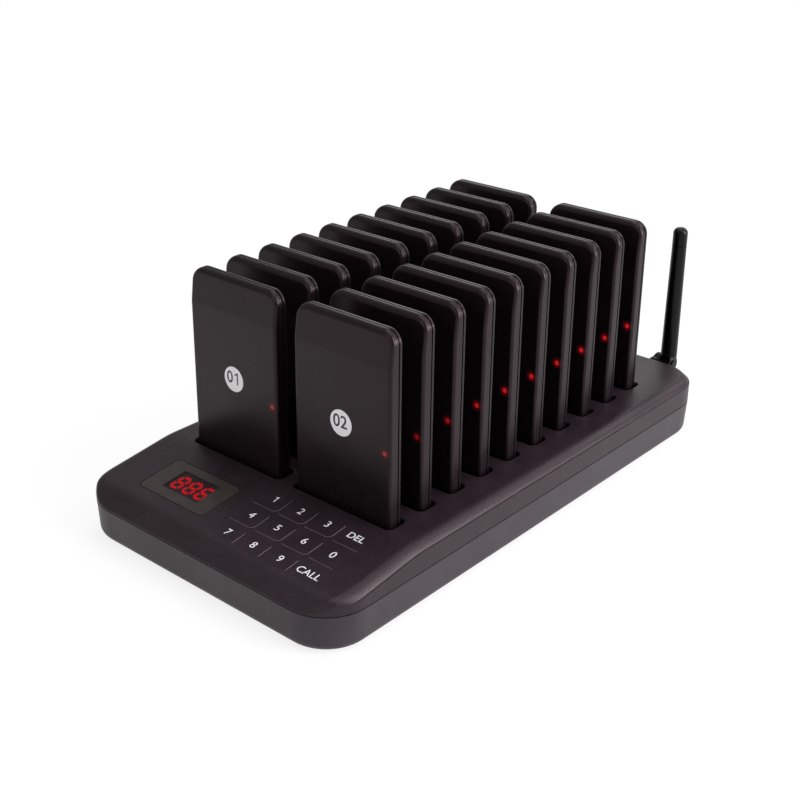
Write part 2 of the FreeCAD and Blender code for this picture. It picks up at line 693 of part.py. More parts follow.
def top_cover(profile):
    outside = cover_outside(profile)
    room = inset_block("cover_room_plan", S.wall, seam_z - OVERCUT, S.cover_height + OVERCUT * 2)
    hollow = common("cover_hollow", [room, group("hollow_profile", [profile], (0, 0, -S.deck_thickness))])
    shell = cut("cover_shell", outside, [hollow])
    boss_z = floor_z + S.boss_height
    posts = pegs("cover_boss_posts", S.boss_radius, deck_z - boss_z, case_screw_places(), boss_z)
    tall = fuse("cover_boss_room", [outside, inset_block("boss_room", S.wall, boss_z, seam_z - boss_z)])
    bosses = common("cover_bosses", [posts, tall])
    body = fuse("cover_body", [shell, bosses, display_posts()])
    holes = [
        in_every_slot("slots", slot_tool()),
        pegs("cover_pilot_holes", S.case_screw_radius + S.fit_gap / 3, S.case_screw_length,
             case_screw_places(), tray_z + S.case_screw_recess),
        on_panel("lens_seat", lens_seat()),
        cylinder("aerial_hole", S.thread_radius + S.fit_gap, S.wall * 3,
                 (S.aerial_side, back_y - S.wall * 2, aerial_z), TO_Y),
    ]
    return cut("top_cover", body, holes)


def lens_seat():
    """Tools, flat at the panel's edge: the lens's recess, the digits' window, the display's pilot holes."""
    gap = S.lens_gap
    sunk = S.lens_thickness + gap / 4
    recess = rounded_block("lens_recess", S.lens_width + gap * 2, S.lens_length + gap * 2, sunk + OVERCUT,
                           S.lens_corner + gap,
                           (-S.lens_left - gap, -S.lens_drop - S.lens_length - gap, -sunk))
    window = box("digits_window", (S.digits_width + gap * 2, S.digits_length + gap * 2, OVERCUT),
                 (digits_x() - gap, -S.digits_drop - S.digits_length - gap, OVERCUT / -1 + 1))
    pilots = pegs("display_pilots", S.small_screw_radius, S.digits_height, display_post_places(),
                  -S.digits_height - S.lens_thickness - gap)
    return [recess, window, pilots]


def digits_x():
    return (S.lens_width - S.digits_width) / 2 - S.lens_left


def display_post_places():
    middle_x = S.lens_width / 2 - S.lens_left
    middle_y = -S.digits_drop - S.digits_length / 2
    reach_x = S.display_board_width / 2 - S.post_radius
    reach_y = S.display_board_length / 2 - S.post_radius
    return [(middle_x + x, middle_y + y) for x in (-reach_x, reach_x) for y in (-reach_y, reach_y)]


def display_board_z():
    return -(S.lens_thickness + S.lens_gap + S.digits_height + S.board_thickness)


def display_posts():
    """Posts under the panel that carry the display board."""
    low = display_board_z() + S.board_thickness
    height = -low - S.lens_thickness - S.lens_gap
    posts = pegs("display_post", S.post_radius, height, display_post_places(), low)
    return on_panel("display_posts", [posts])


def display_pieces():
    lens = rounded_block("lens_plate", S.lens_width, S.lens_length, S.lens_thickness, S.lens_corner,
                         (-S.lens_left, -S.lens_drop - S.lens_length, -S.lens_thickness))
    digits_top = S.lens_thickness + S.lens_gap
    digits = box("digits_block", (S.digits_width, S.digits_length, S.digits_height),
                 (digits_x(), -S.digits_drop - S.digits_length, -digits_top - S.digits_height))
    places = display_post_places()
    inset = S.post_radius
    plate = box("display_board_plate", (S.display_board_width, S.display_board_length, S.board_thickness),
                (places[0][0] - inset, places[0][1] - inset, display_board_z()))
    holes = pegs("display_board_holes", screw_hole, S.board_thickness * 2, places,
                 display_board_z() - S.board_thickness / 2)
    return [on_panel("display_lens", [lens]), on_panel("display_module", [digits]),
            on_panel("display_board", [cut("display_board_cut", plate, [holes])])]


def touch_board():
    plate = box("touch_plate", (S.touch_width, S.touch_length, S.touch_thickness),
                (S.touch_left, -S.touch_drop - S.touch_length, -S.deck_thickness - S.touch_thickness))
    return on_panel("touch_board", [plate])


def pocket_strip(name, middle):
    """A comb of ten pockets under one column of slots, with two screw ears at each end."""
    top = deck_z - S.deck_thickness - S.strip_gap
    block = box(name + "_block", (strip_width, strip_length, top - strip_z),
                (middle - strip_width / 2, strip_y, strip_z))
    corners = [(side, y) for side in (-S.ear_side, S.ear_side)
               for y in (strip_y - S.ear_length, strip_end_y - S.strip_wall)]
    ears = [box("%s_ear_%d" % (name, index), (S.ear_width, S.ear_length + S.strip_wall, S.ear_thickness),
                (middle + side - S.ear_width / 2, y, strip_z))
            for index, (side, y) in enumerate(corners)]
    body = fuse(name + "_body", [block] + ears)
    straight = rounded_block(name + "_mouth", slot_length, slot_width, S.slot_depth + OVERCUT, S.slot_corner,
                             (middle - slot_length / 2, slot_y, pocket_z + S.guide_height))
    guide = box(name + "_guide",
                (S.pager_width + S.guide_gap * 2, S.pager_thickness + S.guide_gap * 2, S.slot_depth),
                (middle - S.pager_width / 2 - S.guide_gap, first_y - S.guide_gap, pocket_z))
    play = S.contact_play
    slits = [box("%s_slit_%d" % (name, index),
                 (S.contact_width + play * 2, contact_length() + play * 2, S.strip_floor * 3),
                 (middle + side - S.contact_width / 2 - play, contact_y() - play, strip_z - S.strip_floor))
             for index, side in enumerate((-S.pad_side, S.pad_side))]
    pocket = fuse(name + "_pocket", [straight, guide] + slits)
    rows = [(0, y, 0) for y in all_rows()]
    core_gap = S.pager_pitch - slot_width - S.strip_wall * 2
    core = box(name + "_core", (slot_length, core_gap, top - strip_z - S.strip_wall),
               (middle - slot_length / 2, slot_y + slot_width + S.strip_wall, strip_z))
    holes = pegs(name + "_screw_holes", screw_hole, S.ear_thickness * 2, ear_places_of(middle),
                 strip_z - S.ear_thickness / 2)
    pockets = spread(name + "_pockets", pocket, rows)
    cores = spread(name + "_cores", core, rows[:-1])
    return cut(name, body, [pockets, cores, holes])


def contact_length():
    return S.contact_reach * 2 + S.pad_depth


def contact_y():
    return first_y + pad_y() + S.pad_depth / 2 + S.contact_reach / 2 - contact_length()


def charging_board(name, middle):
    reach = S.ear_length
    plate = box(name + "_plate", (S.charging_board_width, strip_length + reach * 2, S.board_thickness),
                (middle - S.charging_board_width / 2, strip_y - reach, charging_board_z))
    holes = pegs(name + "_holes", screw_hole, S.board_thickness * 2, ear_places_of(middle),
                 charging_board_z - S.board_thickness / 2)
    return cut(name, plate, [holes])


def charging_contacts():
    """Two bent spring strips under each pager, from the charging board up to the pager's pads."""
    metal = S.contact_strip
    rise = pager_z - S.contact_gap - strip_z
    flat = S.contact_reach
    far = contact_length()
    points = [(0, 0), (flat, 0), (far - flat, rise - metal), (far, rise - metal), (far, rise),
              (far - flat, rise), (flat - metal, metal), (0, metal)]
    spring = prism("contact_spring", outline("contact_outline", points), S.contact_width,
                   (-S.contact_width / 2, contact_y(), strip_z), SIDE_VIEW)
    pair = spread("contact_pair", spring, [(-S.pad_side, 0, 0), (S.pad_side, 0, 0)])
    return in_every_slot("charging_contacts", pair)


def small_screws(name, length, places, z):
    one = screw(name + "_one", S.small_screw_radius, length, S.small_head_radius, S.small_head_height, True)
    return spread(name, one, [(x, y, z) for x, y in places])


def strip_screws():
    return small_screws("strip_screws", S.small_screw_length, ear_places(), strip_z + S.ear_thickness)


def board_screws():
    """The four screws of the main board and the four of the display board."""
    upright = small_screws("main_board_screws", S.short_screw_length, main_post_places(), main_board_top)
    short = screw("display_screw_one", S.small_screw_radius, S.digits_height, S.small_head_radius,
                  S.small_head_height, False)
    places = [(x, y, display_board_z()) for x, y in display_post_places()]
    hung = spread("display_screws_flat", short, places)
    return group("board_screws", [upright, on_panel("display_screws", [hung])])


def case_screws():
    one = screw("case_screw_one", S.case_screw_radius, S.case_screw_length, S.case_head_radius,
                S.case_head_height, False)
    z = tray_z + S.case_screw_recess
    return spread("case_screws", one, [(x, y, z) for x, y in case_screw_places()])


def main_board():
    plate = box("main_board_plate", (S.main_board_width, S.main_board_depth, S.board_thickness),
                (-S.main_board_width / 2, main_board_y, main_board_z))
    holes = pegs("main_board_holes", screw_hole, S.board_thickness * 2, main_post_places(),
                 main_board_z - S.board_thickness / 2)
    return cut("main_board", plate, [holes])


def main_board_parts():
    """The controller and memory chips and two capacitors on the main board."""
    middle_y = main_board_y + S.main_board_depth / 2
    controller = box("controller_chip", (S.chip_size, S.chip_size, S.chip_height),
                     (-S.chip_size / 2, middle_y - S.chip_size / 2, main_board_top))
    memory_x = -S.chip_size / 2 - S.chip_gap - S.memory_width
    memory = box("memory_chip", (S.memory_width, S.memory_depth, S.chip_height),
                 (memory_x, middle_y - S.memory_depth / 2, main_board_top))
    can_x = memory_x - S.capacitor_gap - S.capacitor_radius
    cans = pegs("capacitors", S.capacitor_radius, S.capacitor_height,
                [(can_x, middle_y), (can_x - S.capacitor_pitch, middle_y)], main_board_top)
    return group("main_board_parts", [controller, memory, cans])


def beeper():
    return cylinder("beeper", S.beeper_radius, S.beeper_height,
                    (S.beeper_side, main_board_y + S.main_board_depth / 2, main_board_top))


def radio_module():
    return box("radio_module", (S.radio_width, S.radio_depth, S.radio_height),
               (S.radio_left, main_board_y + (S.main_board_depth - S.radio_depth) / 2, main_board_top))


def power_inlet():
    """A round socket with a centre pin, on the main board and through the tray's back wall."""
    wall_y = back_y - S.wall - S.rim_thickness - S.fit_gap * 2
    block = box("jack_block", (S.jack_width, S.jack_length, S.jack_height),
                (-S.jack_side - S.jack_width / 2, wall_y - S.jack_length, main_board_top))
    nose = cylinder("jack_nose", S.jack_nose, back_y - wall_y + S.jack_depth - S.tray_draft,
                    (-S.jack_side, wall_y - S.jack_depth, jack_z()), TO_Y)
    bore = cylinder("jack_bore", S.jack_bore, S.jack_depth * 2,
                    (-S.jack_side, back_y - S.tray_draft - S.jack_depth, jack_z()), TO_Y)
    pin = cylinder("jack_pin", S.jack_pin, S.jack_depth,
                   (-S.jack_side, back_y - S.tray_draft - S.jack_depth - 1, jack_z()), TO_Y)
    return fuse("power_inlet", [cut("jack_hollow", fuse("jack_body", [block, nose]), [bore]), pin])


def ribbon(name, middle, far_y, far_z, near_y, near_z):
    """A flat cable on the tray's floor that turns up to a board at each end."""
    metal = S.ribbon_thickness
    rise_far = far_z - floor_z
    rise_near = near_z - floor_z
    length = near_y - far_y
    inner = length - metal
    points = [(0, 0), (length, 0), (length, rise_near), (inner, rise_near), (inner, metal),
              (metal, metal), (metal, rise_far), (0, rise_far)]
    return prism(name, outline(name + "_outline", points), S.ribbon_width,
                 (middle - S.ribbon_width / 2, far_y, floor_z), SIDE_VIEW)


def under_panel(y, below):
    """The height of a point a little below the panel's face, at a place y."""
    slope = S.ridge_drop / (S.panel_setback - S.ridge_setback)
    return deck_z - (panel_y - y) * slope - below


def flat_cables():
    near = main_board_y + S.ribbon_lap
    touch_y = panel_y - S.touch_drop - S.ribbon_lap
    touch = ribbon("touch_ribbon", S.ribbon_side, touch_y,
                   under_panel(touch_y, S.deck_thickness + S.touch_thickness * 1.3), near, main_board_z)
    places = display_post_places()
    display_y = panel_y + places[1][1] - S.post_radius * 2.4
    display = ribbon("display_ribbon", places[2][0] - S.post_radius - S.ribbon_width, display_y,
                     under_panel(display_y, -display_board_z() * 1.03), near, main_board_z)
    boards = [ribbon("charging_ribbon_%d" % index, middle, strip_end_y - S.ribbon_lap, charging_board_z,
                     near, main_board_z) for index, middle in enumerate(columns())]
    return group("flat_cables", [touch, display] + boards)


def antenna_lead():
    """A thin coaxial lead from the connector down to the radio module."""
    start_y = back_y - S.wall - S.flange_thickness
    bend_y = start_y - S.lead_bend
    level = cylinder("lead_level", S.lead_radius, S.lead_bend, (S.aerial_side, bend_y, aerial_z), TO_Y)
    elbow = doc.addObject("Part::Torus", "lead_elbow")
    bind(elbow, "Radius1", S.lead_bend)
    bind(elbow, "Radius2", S.lead_radius)
    elbow.Angle3 = 90
    place(elbow, (S.aerial_side, bend_y, aerial_z - S.lead_bend), BACK_TO_DOWN)
    low = main_board_top + S.radio_height
    down = cylinder("lead_down", S.lead_radius, aerial_z - S.lead_bend - low,
                    (S.aerial_side, bend_y - S.lead_bend, low))
    return fuse("antenna_lead", [level, elbow, down])


def antenna_connector():
    """A threaded bulkhead connector with its flange inside the cover's back wall."""
    flange = cylinder("connector_flange", S.flange_radius, S.flange_thickness,
                      (S.aerial_side, back_y - S.wall - S.flange_thickness, aerial_z), TO_Y)
    thread = cylinder("connector_thread", S.thread_radius, S.wall + S.thread_reach,
                      (S.aerial_side, back_y - S.wall, aerial_z), TO_Y)
    return fuse("antenna_connector", [flange, thread])


def connector_nut():
    nut = doc.addObject("Part::Prism", "nut_hexagon")
    nut.Polygon = 6
    bind(nut, "Circumradius", S.nut_radius)
    bind(nut, "Height", S.nut_thickness)
    place(nut, (S.aerial_side, back_y, aerial_z), TO_Y)
    hole = cylinder("nut_hole", S.thread_radius + S.fit_gap / 3, S.nut_thickness * 2,
                    (S.aerial_side, back_y - S.nut_thickness / 2, aerial_z), TO_Y)
    return cut("connector_nut", nut, [hole])


def antenna_swivel():
    """The sleeve that turns on the connector, and the fixed eye of the fold hinge."""
    start_y = back_y + S.sleeve_start
    sleeve = cylinder("swivel_sleeve", S.sleeve_radius, S.sleeve_length,
                      (S.aerial_side, start_y, aerial_z), TO_Y)
    eye_start = eye_x - S.eye_gap / 2 - S.fixed_eye
    eye = cylinder("swivel_eye", S.hinge_radius, S.fixed_eye, (eye_start, hinge_y, aerial_z), TO_X)
    web_length = S.antenna_setback - S.sleeve_start - S.sleeve_length / 2
    web = box("swivel_web", (S.fixed_eye, web_length, S.web_height),
              (eye_start, start_y + S.sleeve_length / 2, aerial_z - S.web_height / 2))

    def outer_side(shape, edge):
        return same(edge.BoundBox.XMax, eye_start) and edge.BoundBox.YMax > hinge_y.value

    solid = round_edges("swivel_rounded", fuse("swivel_solid", [sleeve, eye, web]), outer_side,
                        lambda point: S.fixed_eye / 4)
    bore_depth = S.thread_reach - S.sleeve_start + S.turn_gap * 2
    bore = cylinder("swivel_bore", S.thread_radius + S.turn_gap, bore_depth,
                    (S.aerial_side, start_y, aerial_z), TO_Y)
    hole = cylinder("swivel_pin_hole", S.pin_radius + S.turn_gap / 2, S.fixed_eye * 2,
                    (eye_start - S.fixed_eye / 2, hinge_y, aerial_z), TO_X)
    return cut("antenna_swivel", solid, [bore, hole])


def antenna_pin():
    start = eye_x - S.eye_gap / 2 - S.fixed_eye - S.turn_gap
    end = eye_x + S.eye_gap / 2 + S.moving_eye + S.turn_gap
    rod = cylinder("pin_rod", S.pin_radius, end - start, (start, hinge_y, aerial_z), TO_X)
    heads = [cylinder("pin_head_%d" % index, S.pin_head, S.pin_head_height, (x, hinge_y, aerial_z), TO_X)
             for index, x in enumerate((start - S.pin_head_height, end))]
    return fuse("antenna_pin", [rod] + heads)


def whip_x():
    return eye_x + S.eye_gap / 2 + S.moving_eye / 2


def antenna_whip():
    """The moving hinge eye and the tapered whip that stands on it."""
    eye_start = eye_x + S.eye_gap / 2
    eye = cylinder("whip_eye", S.hinge_radius - S.turn_gap, S.moving_eye,
                   (eye_start, hinge_y, aerial_z), TO_X)
    rise = S.hinge_radius + S.eye_gap * 3
    neck = box("whip_neck", (S.moving_eye, S.whip_root * 1.6, rise),
               (eye_start, hinge_y - S.whip_root * 0.8, aerial_z))
    rod = cone("whip_rod", S.whip_root, S.whip_tip, S.whip_length - rise,
               (whip_x(), hinge_y, aerial_z + rise))
    spigot = cylinder("whip_spigot", S.whip_tip - S.cap_groove - S.fit_gap / 3, S.cap_groove * 4,
                      (whip_x(), hinge_y, aerial_z + S.whip_length))
    hole = cylinder("whip_pin_hole", S.pin_radius + S.turn_gap, S.moving_eye * 2,
                    (eye_start - S.moving_eye / 2, hinge_y, aerial_z), TO_X)
    return cut("antenna_whip", fuse("whip_solid", [eye, neck, rod, spigot]), [hole])


def antenna_cap():
    low = aerial_z + S.whip_length + S.cap_groove
    plug = cylinder("cap_plug", S.whip_tip, S.cap_length, (whip_x(), hinge_y, low))
    top = low + S.cap_length

    def top_edge(shape, edge):
        return same(edge.BoundBox.ZMin, top)

    rounded = round_edges("cap_rounded", plug, top_edge, lambda point: S.whip_tip * 0.8)
    socket = cylinder("cap_socket", S.whip_tip - S.cap_groove, S.cap_groove * 3, (whip_x(), hinge_y, low))
    return cut("antenna_cap", rounded, [socket])


def pager_slab(name, y, depth, inset):
    """A pager's outline, drawn in by an inset, from y towards the back."""
    return rounded_block(name, S.pager_width - inset * 2, S.pager_length - inset * 2, depth,
                         S.pager_corner - inset, (inset - S.pager_width / 2, y + depth, inset), FRONT_VIEW)


def post_places():
    return [(x, z) for x in (-S.pager_post_side, S.pager_post_side)
            for z in (S.pager_post_low, S.pager_post_high)]


def pager_pegs(name, radius, depth, places, y):
    """Equal cylinders along Y in a pager, each at its (x, z)."""
    return group(name, [cylinder("%s_%d" % (name, index), radius, depth, (x, y, z), TO_Y)
                        for index, (x, z) in enumerate(places)])


def pager_front_view(inset, depth):
    """The side view of a pager's front: upright to the kink, then leaning back."""
    top = S.pager_length - inset
    return [(inset, inset), (inset, S.kink_height), (inset + S.kink_setback, top),
            (depth, top), (depth, inset)]


def pager_front_shell():
    depth = S.front_shell_depth
    reach = depth + OVERCUT
    none = Size("0", 0)
    corner = (-S.pager_width / 2, 0, 0)
    view = prism("front_view", outline("front_view_outline", pager_front_view(none, reach)), S.pager_width,
                 corner, SIDE_VIEW)

    def at_kink(shape, edge):
        return same(edge.BoundBox.ZMin, S.kink_height) and same(edge.BoundBox.ZMax, S.kink_height)

    eased = round_edges("front_view_eased", view, at_kink, lambda point: S.kink_blend)
    slab = common("front_slab", [pager_slab("front_outline", none, depth, 0), eased])

    def faces_front(shape, edge):
        across = same(edge.BoundBox.XLength, S.pager_width)
        return edge.BoundBox.YMax < S.kink_setback.value + 0.01 and not across

    def edge_round(point):
        return S.top_edge_round if point.z > S.kink_height.value + S.kink_blend.value else S.front_edge_round

    rounded = round_edges("front_rounded", slab, faces_front, edge_round)
    room_outline = outline("room_view_outline", pager_front_view(S.pager_wall, reach))
    room_view = prism("room_view", room_outline, S.pager_width, corner, SIDE_VIEW)
    room = common("front_room", [pager_slab("front_room_outline", none, depth, S.pager_wall), room_view])
    shell = cut("front_hollow", rounded, [room])
    posts = pager_pegs("pager_posts", S.pager_post_radius, depth, post_places(), 0)
    body = fuse("front_body", [shell, common("pager_posts_inside", [posts, rounded])])
    pad_hole = box("pad_hole", (S.pad_width + S.fit_gap * 2, S.pad_depth + S.fit_gap * 2, S.pager_wall * 2),
                   (-S.pad_width / 2 - S.fit_gap, pad_y() - S.fit_gap, -S.pager_wall / 2))
    pads = spread("pad_holes", pad_hole, pad_places())
    lamp = cylinder("lamp_hole", S.lamp_radius + S.fit_gap / 2, S.pager_wall * 2,
                    (lamp_x(), -S.pager_wall / 2, S.lamp_height), TO_Y)
    pilots = pager_pegs("pager_pilots", S.pager_screw_radius, S.pager_screw_length,
                        post_places(), screw_head_y() - S.pager_screw_length)
    return cut("shell_front", body, [pads, lamp, pilots])


def pager_back_shell():
    start = S.front_shell_depth + S.shell_groove
    plate = pager_slab("back_plate", start, S.pager_thickness - start, 0)

    def rear_edge(shape, edge):
        return same(edge.BoundBox.YMin, S.pager_thickness)

    rounded = round_edges("back_rounded", plate, rear_edge, lambda point: S.back_edge_round)
    lip = pager_slab("back_lip", S.front_shell_depth, S.shell_groove, S.shell_groove)
    room_depth = S.pager_thickness - S.front_shell_depth - S.pager_wall
    room = pager_slab("back_room", S.front_shell_depth, room_depth, S.shell_groove + S.pager_wall)
    hollow = cut("back_hollow", fuse("back_solid", [rounded, lip]), [room])
    stub_length = S.pager_thickness - S.pager_wall / 2 - S.front_shell_depth
    stubs = pager_pegs("back_stubs", S.pager_post_radius, stub_length, post_places(), S.front_shell_depth)
    holes = pager_pegs("back_holes", S.pager_screw_radius + S.fit_gap, S.pager_thickness, post_places(), 0)
    sinks = pager_pegs("back_sinks", S.pager_head_radius + S.fit_gap, S.pager_wall, post_places(),
                       screw_head_y())
    return cut("shell_back", fuse("back_body", [hollow, stubs]), [holes, sinks])


def screw_head_y():
    return S.pager_thickness - S.pager_head_height


def lamp_x():
    return S.pager_width / 2 - S.lamp_inset


def pad_y():
    return S.pager_board_front + S.pager_board_thickness


def pad_places():
    return [(-S.pad_side, 0, 0), (S.pad_side, 0, 0)]


def pager_pieces():
    """Every piece of one pager, with the pager's bottom middle at the origin and its face at the front."""
    board = box("pager_board", (S.pager_board_width, S.pager_board_thickness, S.pager_board_height),
                (-S.pager_board_width / 2, S.pager_board_front, S.pager_board_low))
    cell = box("pager_cell", (S.cell_width, S.cell_thickness, S.cell_height),
               (-S.cell_width / 2, S.cell_front, S.cell_low))
    motor = cylinder("pager_motor", S.motor_radius, S.motor_thickness,
                     (-S.motor_side, pad_y(), S.parts_height), TO_Y)
    sounder = cylinder("pager_sounder", S.sounder_radius, S.sounder_thickness,
                       (S.sounder_side, pad_y(), S.parts_height), TO_Y)
    lamp = cylinder("pager_lamp", S.lamp_radius, S.pager_board_front, (lamp_x(), 0, S.lamp_height), TO_Y)
    pad = box("pager_pad", (S.pad_width, S.pad_depth, S.pad_rise),
              (-S.pad_width / 2, pad_y(), S.pad_sink))
    label = cylinder("pager_label", S.label_radius, S.label_thickness,
                     (0, -S.label_thickness, S.label_height), TO_Y)
    one = screw("pager_screw_one", S.pager_screw_radius, S.pager_screw_length, S.pager_head_radius,
                S.pager_head_height, True)
    turned = group("pager_screw_turned", [one], (0, 0, 0), TO_Y)
    screws = spread("pager_screws", turned, [(x, screw_head_y(), z) for x, z in post_places()])
    return {
        "front_shell": pager_front_shell(),
        "back_shell": pager_back_shell(),
        "number_label": label,
        "lamp": lamp,
        "circuit_board": board,
        "battery": cell,
        "vibration_motor": motor,
        "sounder": sounder,
        "charging_pads": spread("pager_pads", pad, pad_places()),
        "screws": screws,
    }


def pagers():
    """The first pager as one node for each piece, and every other pager as one node of the same pieces."""
    pieces = pager_pieces()
    nodes = []
    stands = [(x, first_y + y, pager_z) for y in all_rows() for x in columns()]
    for name, piece in pieces.items():
        nodes.append(group("pager_01_" + name, [piece], stands[0]))
    for number, stand in enumerate(stands[1:], start=2):
        nodes.append(group("pager_%02d" % number, list(pieces.values()), stand))
    return nodes


def build():
    profile = top_profile()
    nodes = [bottom_tray(profile), rubber_feet(), top_cover(profile)]
    for side, middle in zip(("left", "right"), columns()):
        nodes += [pocket_strip("pocket_strip_" + side, middle)]
        nodes += [charging_board("charging_board_" + side, middle)]
    nodes += [charging_contacts(), strip_screws(), case_screws(), board_screws()]
    nodes += [main_board(), main_board_parts(), beeper(), radio_module(), power_inlet(), flat_cables()]
    nodes += display_pieces() + [touch_board()]
    nodes += [antenna_lead(), antenna_connector(), connector_nut()]
    nodes += [antenna_swivel(), antenna_pin(), antenna_whip(), antenna_cap()]
    return nodes + pagers()


def check(nodes):
    """Stop if any object of the document failed or any piece is missing or broken."""
    for item in doc.Objects:
        if "Invalid" in item.State or "Error" in item.State:
            raise RuntimeError("%s failed: %s" % (item.Name, item.State))
    for item in nodes:
        if item.Shape.isNull() or not item.Shape.isValid() or not item.Shape.Solids:
            raise RuntimeError("%s has no valid shape" % item.Name)


def main():
    nodes = build()
    doc.recompute()
    check(nodes)
    os.makedirs("parts", exist_ok=True)
    for item in nodes:
        item.Label = item.Name
        item.Shape.exportStep("parts/%s.step" % item.Label)
    print("%d nodes" % len(nodes))


main()
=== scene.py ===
"""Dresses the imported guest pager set: finishes, printed numbers and legends, display, light and camera."""

import math

import bmesh
import bpy
from mathutils import Euler, Matrix, Vector
from mathutils.bvhtree import BVHTree


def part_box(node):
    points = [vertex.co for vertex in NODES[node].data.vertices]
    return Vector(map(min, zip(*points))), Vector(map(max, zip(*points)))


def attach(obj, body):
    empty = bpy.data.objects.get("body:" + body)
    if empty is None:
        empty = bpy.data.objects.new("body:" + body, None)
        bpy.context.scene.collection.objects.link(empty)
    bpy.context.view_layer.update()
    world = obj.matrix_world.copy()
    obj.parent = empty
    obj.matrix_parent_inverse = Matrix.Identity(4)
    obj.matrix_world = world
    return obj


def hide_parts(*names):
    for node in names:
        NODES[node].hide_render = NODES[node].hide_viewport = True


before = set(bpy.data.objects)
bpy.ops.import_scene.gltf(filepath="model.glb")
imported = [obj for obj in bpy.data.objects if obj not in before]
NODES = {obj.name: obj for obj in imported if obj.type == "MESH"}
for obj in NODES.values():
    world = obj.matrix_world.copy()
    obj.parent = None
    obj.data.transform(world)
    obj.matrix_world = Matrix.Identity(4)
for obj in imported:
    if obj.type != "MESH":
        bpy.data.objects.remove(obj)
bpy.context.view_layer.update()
MM = 0.001

# The camera stands at the photograph's viewing angle. The small shift is the photograph's own framing.
CAMERA_AZIMUTH = 42.80
CAMERA_ELEVATION = 23.17
CAMERA_ROLL = 0.338
CAMERA_ACROSS = 381.49 * MM
CAMERA_FORWARD = 373.42 * MM
CAMERA_HEIGHT = 325.84 * MM
CAMERA_LENS = 60.51
CAMERA_SENSOR = 36
CAMERA_SHIFT = 0.06875

PAGER_COUNT = 20
FIRST_PAGER = "pager_01_"

# The first pager's front face is the line from which places on the panel are measured, towards the front.
FIRST_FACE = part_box("pager_01_front_shell")[0].y
PRINT_LIFT = 0.02 * MM
PRINT_THICKNESS = 0.03 * MM
# Rays that look for the panel's surface start at this height, above the deck.
RAY_START = 0.1

# The clear window in the display's lens: left, right, front and back.
WINDOW = (-44.8 * MM, -21.6 * MM, FIRST_FACE - 35.8 * MM, FIRST_FACE - 21.7 * MM)

# How far the painted glow of a lamp's light spreads over the pager's face.
SPILL_START = 1.0 * MM
SPILL_END = 3.6 * MM
# The lamps near the front are weaker, up to this far behind the first row.
LAMP_ROWS = (20 * MM, 85 * MM)

# The floor's half width, and the distances from the middle between which it turns plain white.
FLOOR_SIZE = 1.6
FLOOR_WHITE = 0.82
FADE_START = 0.22
FADE_END = 0.5
WORLD_LEVEL = 0.42

# Each light's name, place, aim, width, height and power in watts.
LIGHTS = (
    ("key_light", (1.1, 0.3, 0.9), (0, 0, 0.05), 0.9, 0.9, 14),
    ("front_light", (-0.1, -1.4, 0.8), (0, 0, 0.05), 0.8, 0.8, 3),
    ("top_light", (0.0, 0.1, 1.5), (0, 0, 0), 1.2, 1.2, 10),
    ("rear_light", (0.35, 1.2, 0.8), (0, 0, 0.05), 0.7, 0.5, 3),
    ("left_light", (-0.7, 1.2, 0.8), (0, 0, 0.05), 0.9, 0.6, 3),
    ("side_light", (1.3, 0.7, 0.3), (0, 0, 0.05), 0.8, 0.5, 16),
)


def linear(value):
    """One channel of a screen's colour, 0 to 255, as a share of full light."""
    share = value / 255
    return ((share + 0.055) / 1.055) ** 2.4 if value > 10 else share / 12.92


def srgb(red, green, blue):
    """A screen's colour, 0 to 255 in each channel, as the shaders take it."""
    return linear(red), linear(green), linear(blue), 1.0


# Black plastic of this kind has a slightly warm, plum sheen.
PLASTIC_TINT = (1.0, 0.9, 0.94, 1.0)


